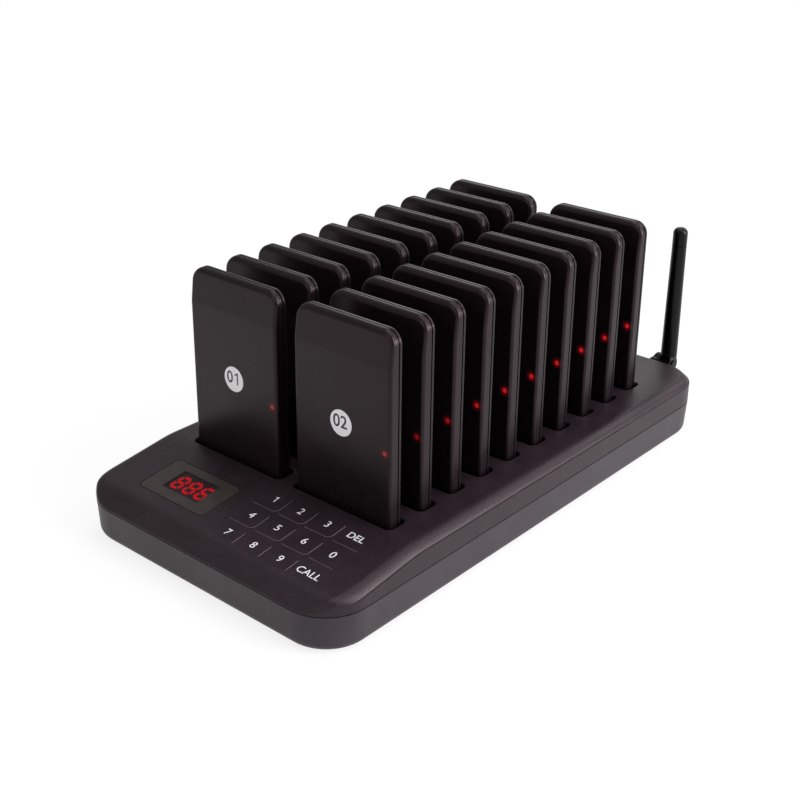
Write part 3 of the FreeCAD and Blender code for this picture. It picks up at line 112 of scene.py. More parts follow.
class Finish:
    """A node material: its principled shader, and short calls that add and join pattern nodes."""

    def __init__(self, name, colour, roughness, **sockets):
        self.material = bpy.data.materials.new(name)
        self.material.use_nodes = True
        self.tree = self.material.node_tree
        self.shader = self.tree.nodes["Principled BSDF"]
        self.set("Base Color", colour)
        self.set("Roughness", roughness)
        for key, value in sockets.items():
            self.set(key.replace("_", " ").title().replace("Ior", "IOR"), value)
        self.set("Specular Tint", PLASTIC_TINT if not sockets.get("metallic") else (1, 1, 1, 1))
        self.place = self.add("TexCoord").outputs["Object"]

    def set(self, key, value):
        """Gives a socket of the shader a value, or joins a pattern to it."""
        self.give(self.shader.inputs[key], value)

    def give(self, socket, value):
        """Links a pattern to a socket, or writes a plain value into it."""
        if isinstance(value, bpy.types.NodeSocket):
            self.tree.links.new(value, socket)
        else:
            socket.default_value = value

    def add(self, kind, inputs=None, **settings):
        """A new shader node with its inputs and its own settings."""
        made = self.tree.nodes.new("ShaderNode" + kind)
        for key, value in settings.items():
            setattr(made, key, value)
        for key, value in (inputs or {}).items():
            self.give(made.inputs[key], value)
        return made

    def stretched(self, stretch):
        """The object's coordinates, each axis multiplied."""
        return self.add("VectorMath", {0: self.place, 1: stretch}, operation="MULTIPLY").outputs[0]

    def noise(self, size, detail=2.0, stretch=None):
        """A cloudy pattern whose features are about size metres across."""
        place = self.stretched(stretch) if stretch else self.place
        return self.add("TexNoise", {"Vector": place, "Scale": 1 / size, "Detail": detail}).outputs["Fac"]

    def cells(self, size, feature="F1", **inputs):
        """A pattern of cells about size metres across."""
        inputs.update({"Vector": self.place, "Scale": 1 / size})
        return self.add("TexVoronoi", inputs, feature=feature).outputs["Distance"]

    def between(self, fac, low, high, start=0.3, end=0.7):
        """fac from start to end becomes low to high."""
        inputs = {"Value": fac, "From Min": start, "From Max": end, "To Min": low, "To Max": high}
        return self.add("MapRange", inputs).outputs["Result"]

    def mix(self, fac, first, second):
        """The first colour where fac is 0, and the second where it is 1."""
        made = self.add("Mix", data_type="RGBA")
        self.give(made.inputs["Factor"], fac)
        self.give(made.inputs[6], first)
        self.give(made.inputs[7], second)
        return made.outputs[2]

    def sum(self, first, second, operation="ADD"):
        """Two values added, or joined by another operation of the math node."""
        return self.add("Math", {0: first, 1: second}, operation=operation).outputs[0]

    def relief(self, height, depth):
        """Bumps of that depth in metres, on top of any that are there."""
        made = self.add("Bump", {"Height": height, "Distance": depth, "Strength": 1.0})
        under = self.shader.inputs["Normal"]
        if under.is_linked:
            self.tree.links.new(under.links[0].from_socket, made.inputs["Normal"])
        self.tree.links.new(made.outputs["Normal"], under)

    def axis(self, which):
        """One of the object's coordinates, X, Y or Z."""
        return self.add("SeparateXYZ", {0: self.place}).outputs[which]

    def within(self, which, low, high):
        """1 where that coordinate lies between low and high."""
        value = self.axis(which)
        above = self.add("Math", {0: value, 1: low}, operation="GREATER_THAN").outputs[0]
        below = self.add("Math", {0: value, 1: high}, operation="LESS_THAN").outputs[0]
        return self.sum(above, below, "MULTIPLY")


def moulded(name, colour, sheen, roughness=0.42, grain=0.5 * MM, depth=0.02 * MM, **sockets):
    """Injection-moulded plastic: spark-eroded grain, faint mottling, and smudges that change its gloss."""
    made = Finish(name, colour, roughness, **sockets)
    mottle = made.noise(9 * MM, 3.0)
    speck = made.noise(grain, 2.0)
    shade = made.mix(made.between(mottle, 0, 1), colour, sheen)
    pale = tuple(min(1.0, c * 1.6) for c in sheen[:3]) + (1.0,)
    made.set("Base Color", made.mix(made.between(speck, 0, 0.5, 0.45, 0.75), shade, pale))
    smudge = made.noise(28 * MM, 4.0, stretch=(1.0, 1.0, 0.5))
    gloss = made.sum(made.between(smudge, -0.05, 0.05), made.between(speck, -0.04, 0.04))
    made.set("Roughness", made.sum(gloss, roughness))
    made.relief(speck, depth)
    return made


def metal(name, colour, roughness=0.28):
    """Turned or stamped metal with fine scratches and a little tarnish."""
    made = Finish(name, colour, roughness, metallic=1.0)
    dull = tuple(c * 0.62 for c in colour[:3]) + (1.0,)
    made.set("Base Color", made.mix(made.between(made.noise(1.8 * MM, 4.0), 0, 0.8), colour, dull))
    lines = made.noise(0.4 * MM, 3.0, stretch=(1.0, 1.0, 7.0))
    made.set("Roughness", made.between(lines, roughness - 0.08, roughness + 0.14))
    made.relief(lines, 0.006 * MM)
    return made


def rubber(name, colour, roughness=0.72):
    """Soft rubber: matt, finely pitted, with a dusty bloom."""
    made = Finish(name, colour, roughness)
    bloom = made.noise(3 * MM, 4.0)
    dusty = tuple(c + 0.02 for c in colour[:3]) + (1.0,)
    made.set("Base Color", made.mix(made.between(bloom, 0, 0.7), colour, dusty))
    made.set("Roughness", made.between(bloom, roughness - 0.06, roughness + 0.1))
    made.relief(made.noise(0.35 * MM), 0.02 * MM)
    return made


def circuit_board(name, colour):
    """Green solder mask over copper tracks, with tinned pads in rows."""
    made = Finish(name, colour, 0.35)
    track = made.cells(3.4 * MM, "DISTANCE_TO_EDGE")
    copper = made.between(track, 1, 0, 0.06, 0.1)
    over_copper = tuple(c * 1.9 + 0.01 for c in colour[:3]) + (1.0,)
    masked = made.mix(copper, colour, over_copper)
    dots = made.cells(2.54 * MM, Randomness=0.0)
    pad = made.between(dots, 1, 0, 0.12, 0.16)
    made.set("Base Color", made.mix(pad, masked, srgb(190, 180, 150)))
    made.set("Roughness", made.between(made.noise(1.2 * MM), 0.28, 0.42))
    made.relief(copper, 0.03 * MM)
    return made


def printed(name, colour, roughness=0.5):
    """Screen-printed ink: slightly uneven, a little raised."""
    made = Finish(name, colour, roughness)
    uneven = made.noise(0.3 * MM, 2.0)
    worn = tuple(c * 0.82 for c in colour[:3]) + (1.0,)
    made.set("Base Color", made.mix(made.between(uneven, 0, 0.6), colour, worn))
    made.set("Roughness", made.between(uneven, roughness - 0.08, roughness + 0.1))
    made.relief(uneven, 0.008 * MM)
    return made


def label_vinyl():
    """White printed vinyl with a faint paper tooth."""
    made = Finish("label_vinyl", srgb(228, 227, 230), 0.42)
    tooth = made.noise(0.45 * MM, 3.0)
    made.set("Base Color", made.mix(made.between(tooth, 0, 0.5), srgb(232, 231, 234), srgb(212, 210, 215)))
    made.set("Roughness", made.between(tooth, 0.36, 0.5))
    made.relief(tooth, 0.01 * MM)
    return made


def lamp_glow(name, colour, edge_colour):
    """Red light from inside behind a pebbled skin, brighter in the middle of each pebble."""
    made = Finish(name, srgb(90, 6, 8), 0.3)
    pebble = made.cells(0.5 * MM)
    made.set("Emission Color", made.mix(made.between(pebble, 0, 0.5, 0.1, 0.6), colour, edge_colour))
    made.set("Emission Strength", 1.0)
    made.relief(pebble, 0.02 * MM)
    return made


def row_share(made, first, last):
    """From first to last with the row in which a pager stands, counted from the front."""
    place = made.add("ObjectInfo").outputs["Location"]
    return made.between(made.add("SeparateXYZ", {0: place}).outputs["Y"], first, last, *LAMP_ROWS)


def painted_lamp_spill(made):
    """Paints the lamp's red spill light as a glow on the pager's face around it."""
    low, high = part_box(FIRST_PAGER + "lamp")
    away = made.add("VectorMath", {0: made.place, 1: (low + high) / 2}, operation="DISTANCE")
    glow = made.between(away.outputs["Value"], 1, 0, SPILL_START, SPILL_END)
    soft = made.sum(glow, 2.0, "POWER")
    # Painted light: the face's plastic glows red near the lamp, in place of the lamp's spill.
    made.set("Emission Color", srgb(150, 8, 24))
    made.set("Emission Strength", made.sum(soft, row_share(made, 0.2, 0.45), "MULTIPLY"))


def lens_smoke():
    """The display's smoke plate: grey print behind, and a clear window over the digits."""
    made = Finish("lens_smoke", srgb(50, 46, 42), 0.34, specular_ior_level=0.3)
    cloud = made.noise(5 * MM, 3.0)
    made.set("Base Color", made.mix(made.between(cloud, 0, 1), srgb(44, 39, 37), srgb(53, 47, 44)))
    made.set("Roughness", made.between(made.noise(0.6 * MM), 0.3, 0.4))
    left, right, front, back = WINDOW
    window = made.sum(made.within("X", left, right), made.within("Y", front, back), "MULTIPLY")
    clear = made.add("BsdfTransparent", {"Color": (0.9, 0.8, 0.84, 1.0)})
    shine = made.add("BsdfGlossy", {"Color": (0.6, 0.55, 0.6, 1.0), "Roughness": 0.3})
    fresnel = made.add("Fresnel", {"IOR": 1.3})
    weak = made.sum(fresnel.outputs[0], 0.1, "MULTIPLY")
    pane = made.add("MixShader", {0: weak, 1: clear.outputs[0], 2: shine.outputs[0]})
    both = made.add("MixShader", {0: window, 1: made.shader.outputs[0], 2: pane.outputs[0]})
    output = made.tree.nodes["Material Output"]
    made.tree.links.new(both.outputs[0], output.inputs["Surface"])
    return made


def pouch_foil():
    """The battery's crinkled foil pouch."""
    made = Finish("pouch_foil", srgb(176, 178, 182), 0.36, metallic=0.85)
    crinkle = made.noise(2.4 * MM, 4.0)
    made.set("Roughness", made.between(crinkle, 0.28, 0.5))
    made.set("Base Color", made.mix(made.between(crinkle, 0, 0.6), srgb(184, 186, 190), srgb(140, 142, 148)))
    made.relief(crinkle, 0.12 * MM)
    return made


def ribbon_film():
    """Flat cable: amber film over copper lines that run along it."""
    made = Finish("ribbon_film", srgb(150, 84, 22), 0.3)
    wave = made.add("TexWave", {"Vector": made.place, "Scale": 1 / (6 * MM), "Distortion": 0.0})
    made.set("Base Color", made.mix(wave.outputs["Fac"], srgb(120, 58, 14), srgb(196, 120, 44)))
    made.relief(wave.outputs["Fac"], 0.03 * MM)
    made.set("Roughness", made.between(made.noise(1 * MM), 0.24, 0.4))
    return made


def board_parts():
    """Black epoxy chips and bright aluminium cans, told apart piece by piece."""
    made = Finish("board_parts", srgb(22, 22, 24), 0.45)
    island = made.add("NewGeometry").outputs["Random Per Island"]
    can = made.add("Math", {0: island, 1: 0.6}, operation="GREATER_THAN").outputs[0]
    grit = made.noise(0.4 * MM)
    black = made.mix(made.between(grit, 0, 1), srgb(20, 20, 22), srgb(34, 34, 36))
    made.set("Base Color", made.mix(can, black, srgb(182, 184, 188)))
    made.set("Metallic", can)
    made.set("Roughness", made.between(grit, 0.36, 0.52))
    made.relief(grit, 0.015 * MM)
    return made


def paint(finish, *names):
    """Gives each of these nodes the finish in place of its plain one."""
    for name in names:
        materials = NODES[name].data.materials
        materials.clear()
        materials.append(finish.material)


cover_plastic = moulded("cover_plastic", srgb(26, 17, 22), srgb(34, 24, 29), grain=0.8 * MM,
                        depth=0.12 * MM, specular_ior_level=0.3)
tray_plastic = moulded("tray_plastic", srgb(36, 30, 34), srgb(44, 38, 42), roughness=0.46, grain=0.8 * MM,
                       depth=0.03 * MM, specular_ior_level=0.38)
pager_plastic = moulded("pager_plastic", srgb(14, 8, 11), srgb(19, 12, 15), roughness=0.31,
                        grain=0.4 * MM, depth=0.012 * MM, specular_ior_level=0.26)
pager_plastic.set("Specular Tint", (1.0, 0.78, 0.86, 1.0))
# Painted light: a red glow painted on each pager's face around its lamp.
painted_lamp_spill(pager_plastic)
inner_plastic = moulded("inner_plastic", srgb(14, 12, 14), srgb(20, 18, 20), roughness=0.5,
                        specular_ior_level=0.2)
whip_rubber = moulded("whip_rubber", srgb(2, 3, 2), srgb(5, 6, 5), roughness=0.3, grain=0.3 * MM,
                      specular_ior_level=0.2)
hinge_plastic = moulded("hinge_plastic", srgb(4, 4, 4), srgb(8, 8, 8), roughness=0.38,
                        specular_ior_level=0.14)
foot_rubber = rubber("foot_rubber", srgb(24, 23, 24))
steel = metal("steel", srgb(172, 172, 176))
nickel = metal("nickel", srgb(196, 192, 180), 0.22)
gold = metal("gold", srgb(226, 178, 92), 0.24)
green_board = circuit_board("green_board", srgb(14, 62, 34))
label_white = label_vinyl()
number_ink = printed("number_ink", srgb(22, 22, 26))
legend_ink = printed("legend_ink", srgb(228, 226, 230))
line_ink = printed("line_ink", srgb(92, 82, 88))
pager_lamp = lamp_glow("pager_lamp", srgb(236, 40, 40), srgb(170, 8, 12))
pager_lamp.set("Emission Strength", row_share(pager_lamp, 0.22, 0.65))
digit_lit = lamp_glow("digit_lit", srgb(190, 20, 22), srgb(138, 8, 12))
digit_lit.set("Specular IOR Level", 0.1)
digit_unlit = moulded("digit_unlit", srgb(36, 24, 30), srgb(42, 28, 34), roughness=0.5,
                      specular_ior_level=0.2)
display_face = moulded("display_face", srgb(33, 28, 31), srgb(40, 34, 37), roughness=0.5,
                       specular_ior_level=0.2)
lens_plate = lens_smoke()
battery_foil = pouch_foil()
cable_film = ribbon_film()
chips = board_parts()
lead_jacket = rubber("lead_jacket", srgb(40, 40, 42), 0.5)

paint(cover_plastic, "top_cover")
paint(tray_plastic, "bottom_tray")
paint(inner_plastic, "pocket_strip_left", "pocket_strip_right", "power_inlet", "beeper")
paint(inner_plastic, FIRST_PAGER + "sounder")
paint(foot_rubber, "rubber_feet")
paint(steel, "strip_screws", "case_screws", "board_screws")
paint(steel, FIRST_PAGER + "screws", FIRST_PAGER + "vibration_motor")
paint(nickel, "antenna_connector", "connector_nut", "radio_module")
paint(gold, "charging_contacts", FIRST_PAGER + "charging_pads")
paint(green_board, "charging_board_left", "charging_board_right", "main_board")
paint(green_board, "display_board", "touch_board", FIRST_PAGER + "circuit_board")
paint(chips, "main_board_parts")
paint(cable_film, "flat_cables")
paint(display_face, "display_module")
paint(lens_plate, "display_lens")
paint(lead_jacket, "antenna_lead")
paint(hinge_plastic, "antenna_swivel", "antenna_pin")
paint(whip_rubber, "antenna_whip", "antenna_cap")
paint(pager_plastic, FIRST_PAGER + "front_shell", FIRST_PAGER + "back_shell")
paint(label_white, FIRST_PAGER + "number_label")
paint(pager_lamp, FIRST_PAGER + "lamp")
paint(battery_foil, FIRST_PAGER + "battery")


def link(name, data):
    """Puts a new piece into the scene."""
    made = bpy.data.objects.new(name, data)
    bpy.context.scene.collection.objects.link(made)
    return made


def whole_pager():
    """One mesh with every piece of the first pager, each face in its piece's own finish."""
    copies = []
    for name in sorted(NODES):
        if name.startswith(FIRST_PAGER):
            copy = bpy.data.objects.new(name + "_copy", NODES[name].data.copy())
            bpy.context.scene.collection.objects.link(copy)
            copies.append(copy)
    first = copies[0]
    with bpy.context.temp_override(active_object=first, object=first, selected_editable_objects=copies):
        bpy.ops.object.join()
    mesh = first.data
    mesh.name = "whole_pager"
    bpy.data.objects.remove(first)
    return mesh


def pager_name(number):
    """The start of the names of a pager's nodes."""
    return f"pager_{number:02d}"


def dress_pagers():
    """Pagers 2 to 20 are the first pager's pieces again, each where its own node stands."""
    mesh = whole_pager()
    low = Vector(map(min, *[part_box(n)[0] for n in NODES if n.startswith(FIRST_PAGER)]))
    for number in range(2, PAGER_COUNT + 1):
        name = pager_name(number)
        piece = link(name + "_assembly", mesh)
        piece.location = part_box(name)[0] - low
        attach(piece, "body_" + name[-2:])
        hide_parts(name)


def text_curve(name, words, size, finish, weight=0.0):
    """Flat raised lettering, centred on its own origin."""
    made = bpy.data.curves.new(name, "FONT")
    made.body = words
    made.size = size
    made.align_x = "CENTER"
    made.align_y = "CENTER"
    made.extrude = PRINT_THICKNESS
    made.offset = weight
    made.materials.append(finish.material)
    return made


NUMBER_SIZE = 8.3 * MM
NUMBER_SHIFT = (-0.4 * MM, 0.4 * MM)
NUMBER_WEIGHT = 0.09 * MM

# A figure one with a flag, in shares of a zero's height: across and up, around its outline.
ONE = ((0.06, 0), (0.19, 0), (0.19, 1), (0.1, 1), (-0.19, 0.78), (-0.14, 0.68), (0.06, 0.82))


def spread(mesh):
    """A mesh's lowest and highest corners."""
    places = [v.co for v in mesh.vertices]
    return Vector(map(min, *places)), Vector(map(max, *places))


def flat_text(words, size, finish, weight):
    """The built-in font's lettering as a mesh, centred on its own origin."""
    holder = bpy.data.objects.new("lettering", text_curve("lettering", words, size, finish, weight))
    mesh = bpy.data.meshes.new_from_object(holder)
    bpy.data.objects.remove(holder)
    return mesh


def flagged_one(low, high):
    """The figure one as a thin plate as high as a zero that fills low to high."""
    made = bmesh.new()
    tall = high.y - low.y
    middle = (low.x + high.x) / 2
    rings = []
    for z in (low.z, high.z):
        rings.append([made.verts.new((middle + x * tall, low.y + y * tall, z)) for x, y in ONE])
    made.faces.new(list(reversed(rings[0])))
    made.faces.new(rings[1])
    for index in range(len(ONE)):
        after = (index + 1) % len(ONE)
        made.faces.new((rings[0][index], rings[0][after], rings[1][after], rings[1][index]))
    mesh = bpy.data.meshes.new("figure_one")
    made.to_mesh(mesh)
    made.free()
    return mesh


def figures(name, words, size, finish, weight=0.0):
    """A number, figure by figure at even steps, centred on its own origin."""
    zero_low, zero_high = spread(flat_text("0", size, finish, weight))
    pair_low, pair_high = spread(flat_text("00", size, finish, weight))
    step = (pair_high.x - pair_low.x) - (zero_high.x - zero_low.x)
    made = bmesh.new()
    for index, figure in enumerate(words):
        if figure == "1":
            mesh = flagged_one(zero_low, zero_high)
        else:
            mesh = flat_text(figure, size, finish, weight)
        mesh.transform(Matrix.Translation(((index - (len(words) - 1) / 2) * step, 0, 0)))
        made.from_mesh(mesh)
    data = bpy.data.meshes.new(name)
    made.to_mesh(data)
    made.free()
    data.materials.clear()
    data.materials.append(finish.material)
    return data


def number_labels():
    """The pagers' own numbers, 01 to 20, each on its round label."""
    label_low, label_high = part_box(FIRST_PAGER + "number_label")
    centre = (label_low + label_high) / 2
    first_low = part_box(FIRST_PAGER + "front_shell")[0]
    for number in range(1, PAGER_COUNT + 1):
        name = pager_name(number)
        low = first_low if number == 1 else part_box(name)[0]
        data = figures(name + "_number", f"{number:02d}", NUMBER_SIZE, number_ink, NUMBER_WEIGHT)
        piece = link(name + "_number", data)
        x = centre.x + low.x - first_low.x + NUMBER_SHIFT[0]
        piece.location = (x, label_low.y + pager_step(number), centre.z + NUMBER_SHIFT[1])
        piece.rotation_euler = Euler((math.pi / 2, 0, 0))
        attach(piece, "body_" + name[-2:])


def pager_step(number):
    """How far behind the first pager this one stands."""
    if number <= 2:
        return 0.0
    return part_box(pager_name(number))[0].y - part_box(pager_name(2))[0].y


class Panel:
    """The cover's outer surface, read by casting rays down on it."""

    def __init__(self):
        graph = bpy.context.evaluated_depsgraph_get()
        self.tree = BVHTree.FromObject(NODES["top_cover"], graph)

    def at(self, x, y):
        """The point on the surface above x, y, and the surface's direction there."""
        point, normal, _, _ = self.tree.ray_cast(Vector((x, y, RAY_START)), Vector((0, 0, -1)))
        return point, normal


# Legends and lines, in millimetres: across from the middle, and forward of the first pager's face.
KEY_COLUMNS = (6.0, 21.9, 37.8, 54.1)
KEY_ROWS = (13.8, 28.1, 42.6)
KEY_WORDS = (("1", "2", "3", "DEL"), ("4", "5", "6", "0"), ("7", "8", "9", "CALL"))
LINE_LEFT = -7.0
LINE_RIGHT = 7.2
LINE_BELOW = -6.9
LINE_ABOVE = 3.6
# The last row's lines are short, and the last column's run a little less far to the right than to the left.
LINE_SHORT = -4.4
LINE_END_TRIM = 0.6
LINE_CORNER = 2.6
CORNER_STEPS = 6
# Points along a line lie no further apart than this, so that it follows the panel.
LINE_STEP = 1.5
LINE_RADIUS = 0.13 * MM
LEGEND_SIZE = 5.7 * MM
WORD_SIZE = 5.4 * MM


def legends(panel):
    """The printed legends of the touch keys."""
    for row, words in zip(KEY_ROWS, KEY_WORDS):
        for column, word in zip(KEY_COLUMNS, words):
            name = "legend_" + word.lower()
            if word.isdigit():
                data = figures(name, word, LEGEND_SIZE, legend_ink)
            else:
                data = text_curve(name, word, WORD_SIZE, legend_ink)
            piece = link(name, data)
            point, normal = panel.at(column * MM, FIRST_FACE - row * MM)
            piece.location = point + normal * PRINT_LIFT
            piece.rotation_euler = Euler((-math.atan2(normal.y, normal.z), 0, 0))
            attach(piece, "base")


def line_points(column, row):
    """The printed line at a key's lower right: along its front edge, round a corner, and up its side."""
    whole = [(LINE_LEFT, LINE_BELOW)]
    centre = (LINE_RIGHT - LINE_CORNER, LINE_BELOW + LINE_CORNER)
    for step in range(CORNER_STEPS + 1):
        turn = math.radians(90 * step / CORNER_STEPS - 90)
        whole.append((centre[0] + LINE_CORNER * math.cos(turn), centre[1] + LINE_CORNER * math.sin(turn)))
    whole.append((LINE_RIGHT, LINE_ABOVE))
    last_row, last_column = len(KEY_ROWS) - 1, len(KEY_COLUMNS) - 1
    if column == last_column:
        whole = [(LINE_LEFT, LINE_BELOW), (-LINE_LEFT - LINE_END_TRIM, LINE_BELOW)]
    elif row == last_row:
        whole = [(LINE_RIGHT, LINE_SHORT), (LINE_RIGHT, LINE_ABOVE)]
    return [(KEY_COLUMNS[column] + x, -KEY_ROWS[row] + y) for x, y in whole]


def spaced(points):
    """The same line with more points along its long stretches."""
    made = [points[0]]
    for start, end in zip(points, points[1:]):
        length = math.dist(start, end)
        parts = max(1, math.ceil(length / LINE_STEP))
        for part in range(1, parts + 1):
            share = part / parts
            made.append((start[0] + (end[0] - start[0]) * share, start[1] + (end[1] - start[1]) * share))
    return made


def key_lines(panel):
    """The thin grey lines between the keys, laid on the panel."""
    for row in range(len(KEY_ROWS)):
        for column in range(len(KEY_COLUMNS)):
            if KEY_WORDS[row][column] == "CALL":
                continue
            name = f"key_line_{row + 1}_{column + 1}"
            curve = bpy.data.curves.new(name, "CURVE")
            curve.dimensions = "3D"
            curve.bevel_depth = LINE_RADIUS
            curve.bevel_resolution = 2
            curve.use_fill_caps = True
            line = spaced(line_points(column, row))
            places = [panel.at(x * MM, FIRST_FACE + y * MM)[0] for x, y in line]
            spline = curve.splines.new("POLY")
            spline.points.add(len(places) - 1)
            for point, place in zip(spline.points, places):
                point.co = (*place, 1)
            curve.materials.append(line_ink.material)
            piece = link(name, curve)
            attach(piece, "base")


# A seven-part digit, in shares of its height. The parts are named as on a data sheet.
DIGIT_WIDTH = 0.48
DIGIT_PARTS = {
    "a": ((0.0, 1.0), (DIGIT_WIDTH, 1.0)),
    "b": ((DIGIT_WIDTH, 1.0), (DIGIT_WIDTH, 0.5)),
    "c": ((DIGIT_WIDTH, 0.5), (DIGIT_WIDTH, 0.0)),
    "d": ((0.0, 0.0), (DIGIT_WIDTH, 0.0)),
    "e": ((0.0, 0.5), (0.0, 0.0)),
    "f": ((0.0, 1.0), (0.0, 0.5)),
    "g": ((0.0, 0.5), (DIGIT_WIDTH, 0.5)),
}
DIGIT_LIT = {"8": "abcdefg", "6": "acdefg"}
DIGITS_SHOWN = "886"
DIGIT_HEIGHT = 9.9 * MM
DIGIT_STEP = 7.85 * MM
DIGIT_SLANT = 0.1
DIGITS_SHIFT = (1.4 * MM, -0.5 * MM)
PART_HALF_WIDTH = 0.78 * MM
PART_GAP = 0.22 * MM
PART_THICKNESS = 0.12 * MM
# A part's outline from below: its size, and its height as a share of the thickness.
PART_RINGS = ((1.0, 0.0), (1.0, 0.6), (0.86, 1.0))
# The film in the lens: how far it runs past the window, and its two faces below the lens's top.
FILM_MARGIN = 0.6 * MM
FILM_DROPS = (0.3 * MM, 0.5 * MM)


def top_plane(name):
    """A node's largest upward face: its middle, the ways across and up it, and the way it looks."""
    mesh = NODES[name].data
    normal = max((p for p in mesh.polygons if p.normal.z > 0.5), key=lambda p: p.area).normal.copy()
    corners = [v.co for v in mesh.vertices]
    height = max(c.dot(normal) for c in corners)
    on_top = [c for c in corners if height - c.dot(normal) < 0.01 * MM]
    centre = sum(on_top, Vector()) / len(on_top)
    across = Vector((1, 0, 0))
    return centre, across, normal.cross(across), normal


def bar(mesh, matrix, start, end):
    """One part of a digit: a flat bar with pointed ends and a bevelled rim."""
    start, end = Vector(start), Vector(end)
    along = (end - start).normalized()
    side = Vector((-along.y, along.x))
    start, end = start + along * PART_GAP, end - along * PART_GAP
    half = PART_HALF_WIDTH
    outline = [
        start,
        start + along * half - side * half,
        end - along * half - side * half,
        end,
        end - along * half + side * half,
        start + along * half + side * half,
    ]
    middle = (start + end) / 2
    rings = []
    for scale, share in PART_RINGS:
        ring = [middle + (corner - middle) * scale for corner in outline]
        rings.append([mesh.verts.new(matrix @ Vector((c.x, c.y, PART_THICKNESS * share))) for c in ring])
    for lower, upper in zip(rings, rings[1:]):
        for index in range(len(outline)):
            after = (index + 1) % len(outline)
            mesh.faces.new((lower[index], lower[after], upper[after], upper[index]))
    mesh.faces.new(rings[-1])
    mesh.faces.new(list(reversed(rings[0])))


def display_film(plane, up):
    """The dark film laminated into the lens behind its window."""
    left, right, front, back = WINDOW
    wide = (right - left) / 2 + FILM_MARGIN
    tall = (back - front) / 2 / up.y + FILM_MARGIN
    corners = [(-wide, -tall), (wide, -tall), (wide, tall), (-wide, tall)]
    made = bmesh.new()
    rings = [[made.verts.new(plane @ Vector((x, y, -drop))) for x, y in corners] for drop in FILM_DROPS]
    made.faces.new(rings[0])
    made.faces.new(list(reversed(rings[1])))
    for index in range(4):
        after = (index + 1) % 4
        made.faces.new((rings[1][index], rings[1][after], rings[0][after], rings[0][index]))
    mesh = bpy.data.meshes.new("display_film")
    made.to_mesh(mesh)
    made.free()
    mesh.materials.append(display_face.material)
    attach(link("display_film", mesh), "base")


def display_digits():
    """The dark film in the window, and on it the three digits, their lit parts and their dark ones."""
    centre, across, up, normal = top_plane("display_lens")
    left, right, front, back = WINDOW
    plane = Matrix((across, up, normal)).transposed().to_4x4()
    away = ((front + back) / 2 - centre.y) / up.y
    plane.translation = centre + across * ((left + right) / 2 - centre.x) + up * away
    display_film(plane, up)
    plane.translation += across * DIGITS_SHIFT[0] + up * DIGITS_SHIFT[1] - normal * FILM_DROPS[0]
    lit, unlit = bmesh.new(), bmesh.new()
    width = DIGIT_STEP * (len(DIGITS_SHOWN) - 1) + DIGIT_WIDTH * DIGIT_HEIGHT
    for index, digit in enumerate(DIGITS_SHOWN):
        start = index * DIGIT_STEP - width / 2
        for part, ends in DIGIT_PARTS.items():
            places = []
            for x, y in ends:
                height = (y - 0.5) * (DIGIT_HEIGHT - 2 * PART_HALF_WIDTH)
                places.append((start + x * DIGIT_HEIGHT + height * DIGIT_SLANT, height))
            bar(lit if part in DIGIT_LIT[digit] else unlit, plane, *places)
    for name, parts, finish in (("digits_lit", lit, digit_lit), ("digits_unlit", unlit, digit_unlit)):
        bmesh.ops.recalc_face_normals(parts, faces=parts.faces)
        mesh = bpy.data.meshes.new(name)
        parts.to_mesh(mesh)
        mesh.materials.append(finish.material)
        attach(link(name, mesh), "base")


def camera():
    """The photograph's camera."""
    azimuth, elevation, roll = (math.radians(a) for a in (CAMERA_AZIMUTH, CAMERA_ELEVATION, CAMERA_ROLL))
    level = Vector((-math.sin(azimuth), math.cos(azimuth), 0))
    ahead = level * math.cos(elevation) - Vector((0, 0, math.sin(elevation)))
    right = ahead.cross(Vector((0, 0, 1))).normalized()
    down = ahead.cross(right)
    turned_right = right * math.cos(roll) + down * math.sin(roll)
    turned_down = down * math.cos(roll) - right * math.sin(roll)
    data = bpy.data.cameras.new("camera")
    data.lens = CAMERA_LENS
    data.sensor_width = CAMERA_SENSOR
    data.shift_x = CAMERA_SHIFT
    data.shift_y = -CAMERA_SHIFT
    made = bpy.data.objects.new("camera", data)
    made.matrix_world = Matrix((turned_right, -turned_down, -ahead)).transposed().to_4x4()
    made.location = (CAMERA_ACROSS, FIRST_FACE - CAMERA_FORWARD, CAMERA_HEIGHT)
    bpy.context.scene.collection.objects.link(made)
    bpy.context.scene.camera = made


def area_light(name, place, aim, width, height, power):
    """A soft lamp at a place, turned towards its aim."""
    data = bpy.data.lights.new(name, "AREA")
    data.shape = "RECTANGLE"
    data.size = width
    data.size_y = height
    data.energy = power
    made = bpy.data.objects.new(name, data)
    made.location = place
    made.rotation_euler = (Vector(aim) - Vector(place)).to_track_quat("-Z", "Y").to_euler()
    bpy.context.scene.collection.objects.link(made)


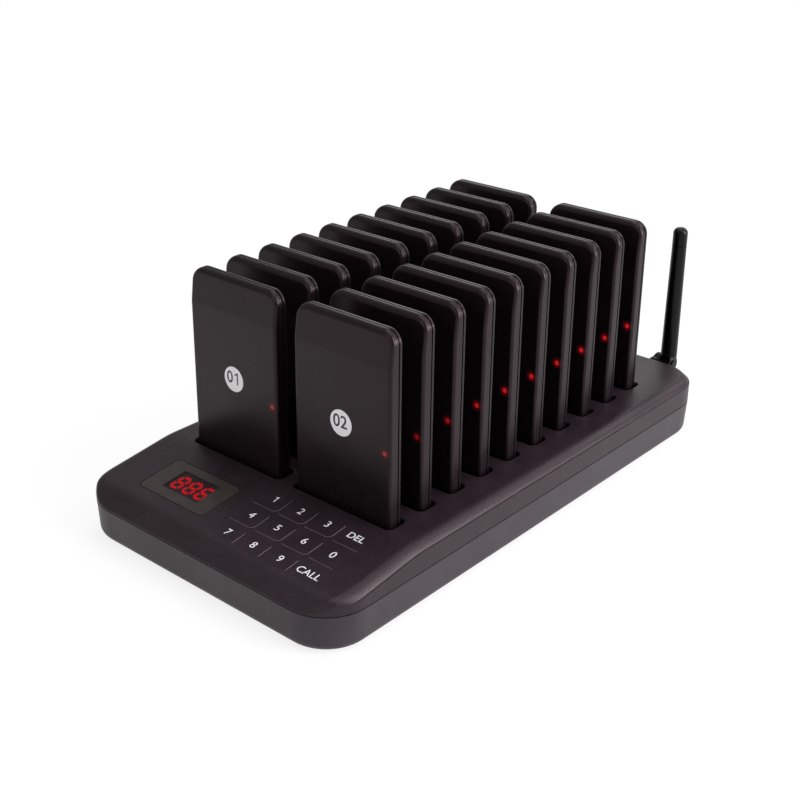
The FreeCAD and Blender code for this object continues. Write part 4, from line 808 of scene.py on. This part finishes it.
def white_floor():
    """A pale floor that keeps the object's soft shadow and turns plain white away from it."""
    made = Finish("floor", (0.94, 0.94, 0.94, 1), 0.9)
    made.set("Specular Tint", (1, 1, 1, 1))
    made.set("Roughness", made.between(made.noise(0.2), 0.85, 0.95))
    path = made.add("LightPath").outputs
    seen = made.sum(made.sum(path["Is Camera Ray"], path["Is Glossy Ray"]), path["Is Transmission Ray"])
    away = made.add("VectorMath", {0: made.place}, operation="LENGTH").outputs["Value"]
    white = made.between(away, FLOOR_WHITE, 1, FADE_START, FADE_END)
    share = made.add("Math", {0: seen, 1: white}, operation="MULTIPLY", use_clamp=True).outputs[0]
    glow = made.add("Emission", {"Color": (1, 1, 1, 1), "Strength": 1.0})
    both = made.add("MixShader", {0: share, 1: made.shader.outputs[0], 2: glow.outputs[0]})
    made.tree.links.new(both.outputs[0], made.tree.nodes["Material Output"].inputs["Surface"])
    mesh = bpy.data.meshes.new("floor")
    size = FLOOR_SIZE
    corners = [(-size, -size, 0), (size, -size, 0), (size, size, 0), (-size, size, 0)]
    mesh.from_pydata(corners, [], [(0, 1, 2, 3)])
    mesh.materials.append(made.material)
    floor = bpy.data.objects.new("floor", mesh)
    bpy.context.scene.collection.objects.link(floor)


def white_world():
    """White behind the object, at a plain level of light."""
    world = bpy.data.worlds.new("world")
    world.use_nodes = True
    tree = world.node_tree
    path = tree.nodes.new("ShaderNodeLightPath").outputs
    seen = tree.nodes.new("ShaderNodeMath")
    seen.operation = "MAXIMUM"
    tree.links.new(path["Is Camera Ray"], seen.inputs[0])
    tree.links.new(path["Is Transmission Ray"], seen.inputs[1])
    level = tree.nodes.new("ShaderNodeMapRange")
    level.inputs["To Min"].default_value = WORLD_LEVEL
    tree.links.new(seen.outputs[0], level.inputs["Value"])
    background = tree.nodes["Background"]
    background.inputs["Color"].default_value = (1, 1, 1, 1)
    tree.links.new(level.outputs["Result"], background.inputs["Strength"])
    bpy.context.scene.world = world


dress_pagers()
number_labels()
cover_surface = Panel()
legends(cover_surface)
key_lines(cover_surface)
display_digits()
camera()
white_floor()
white_world()
for settings in LIGHTS:
    area_light(*settings)
bpy.context.scene.view_settings.view_transform = "Standard"
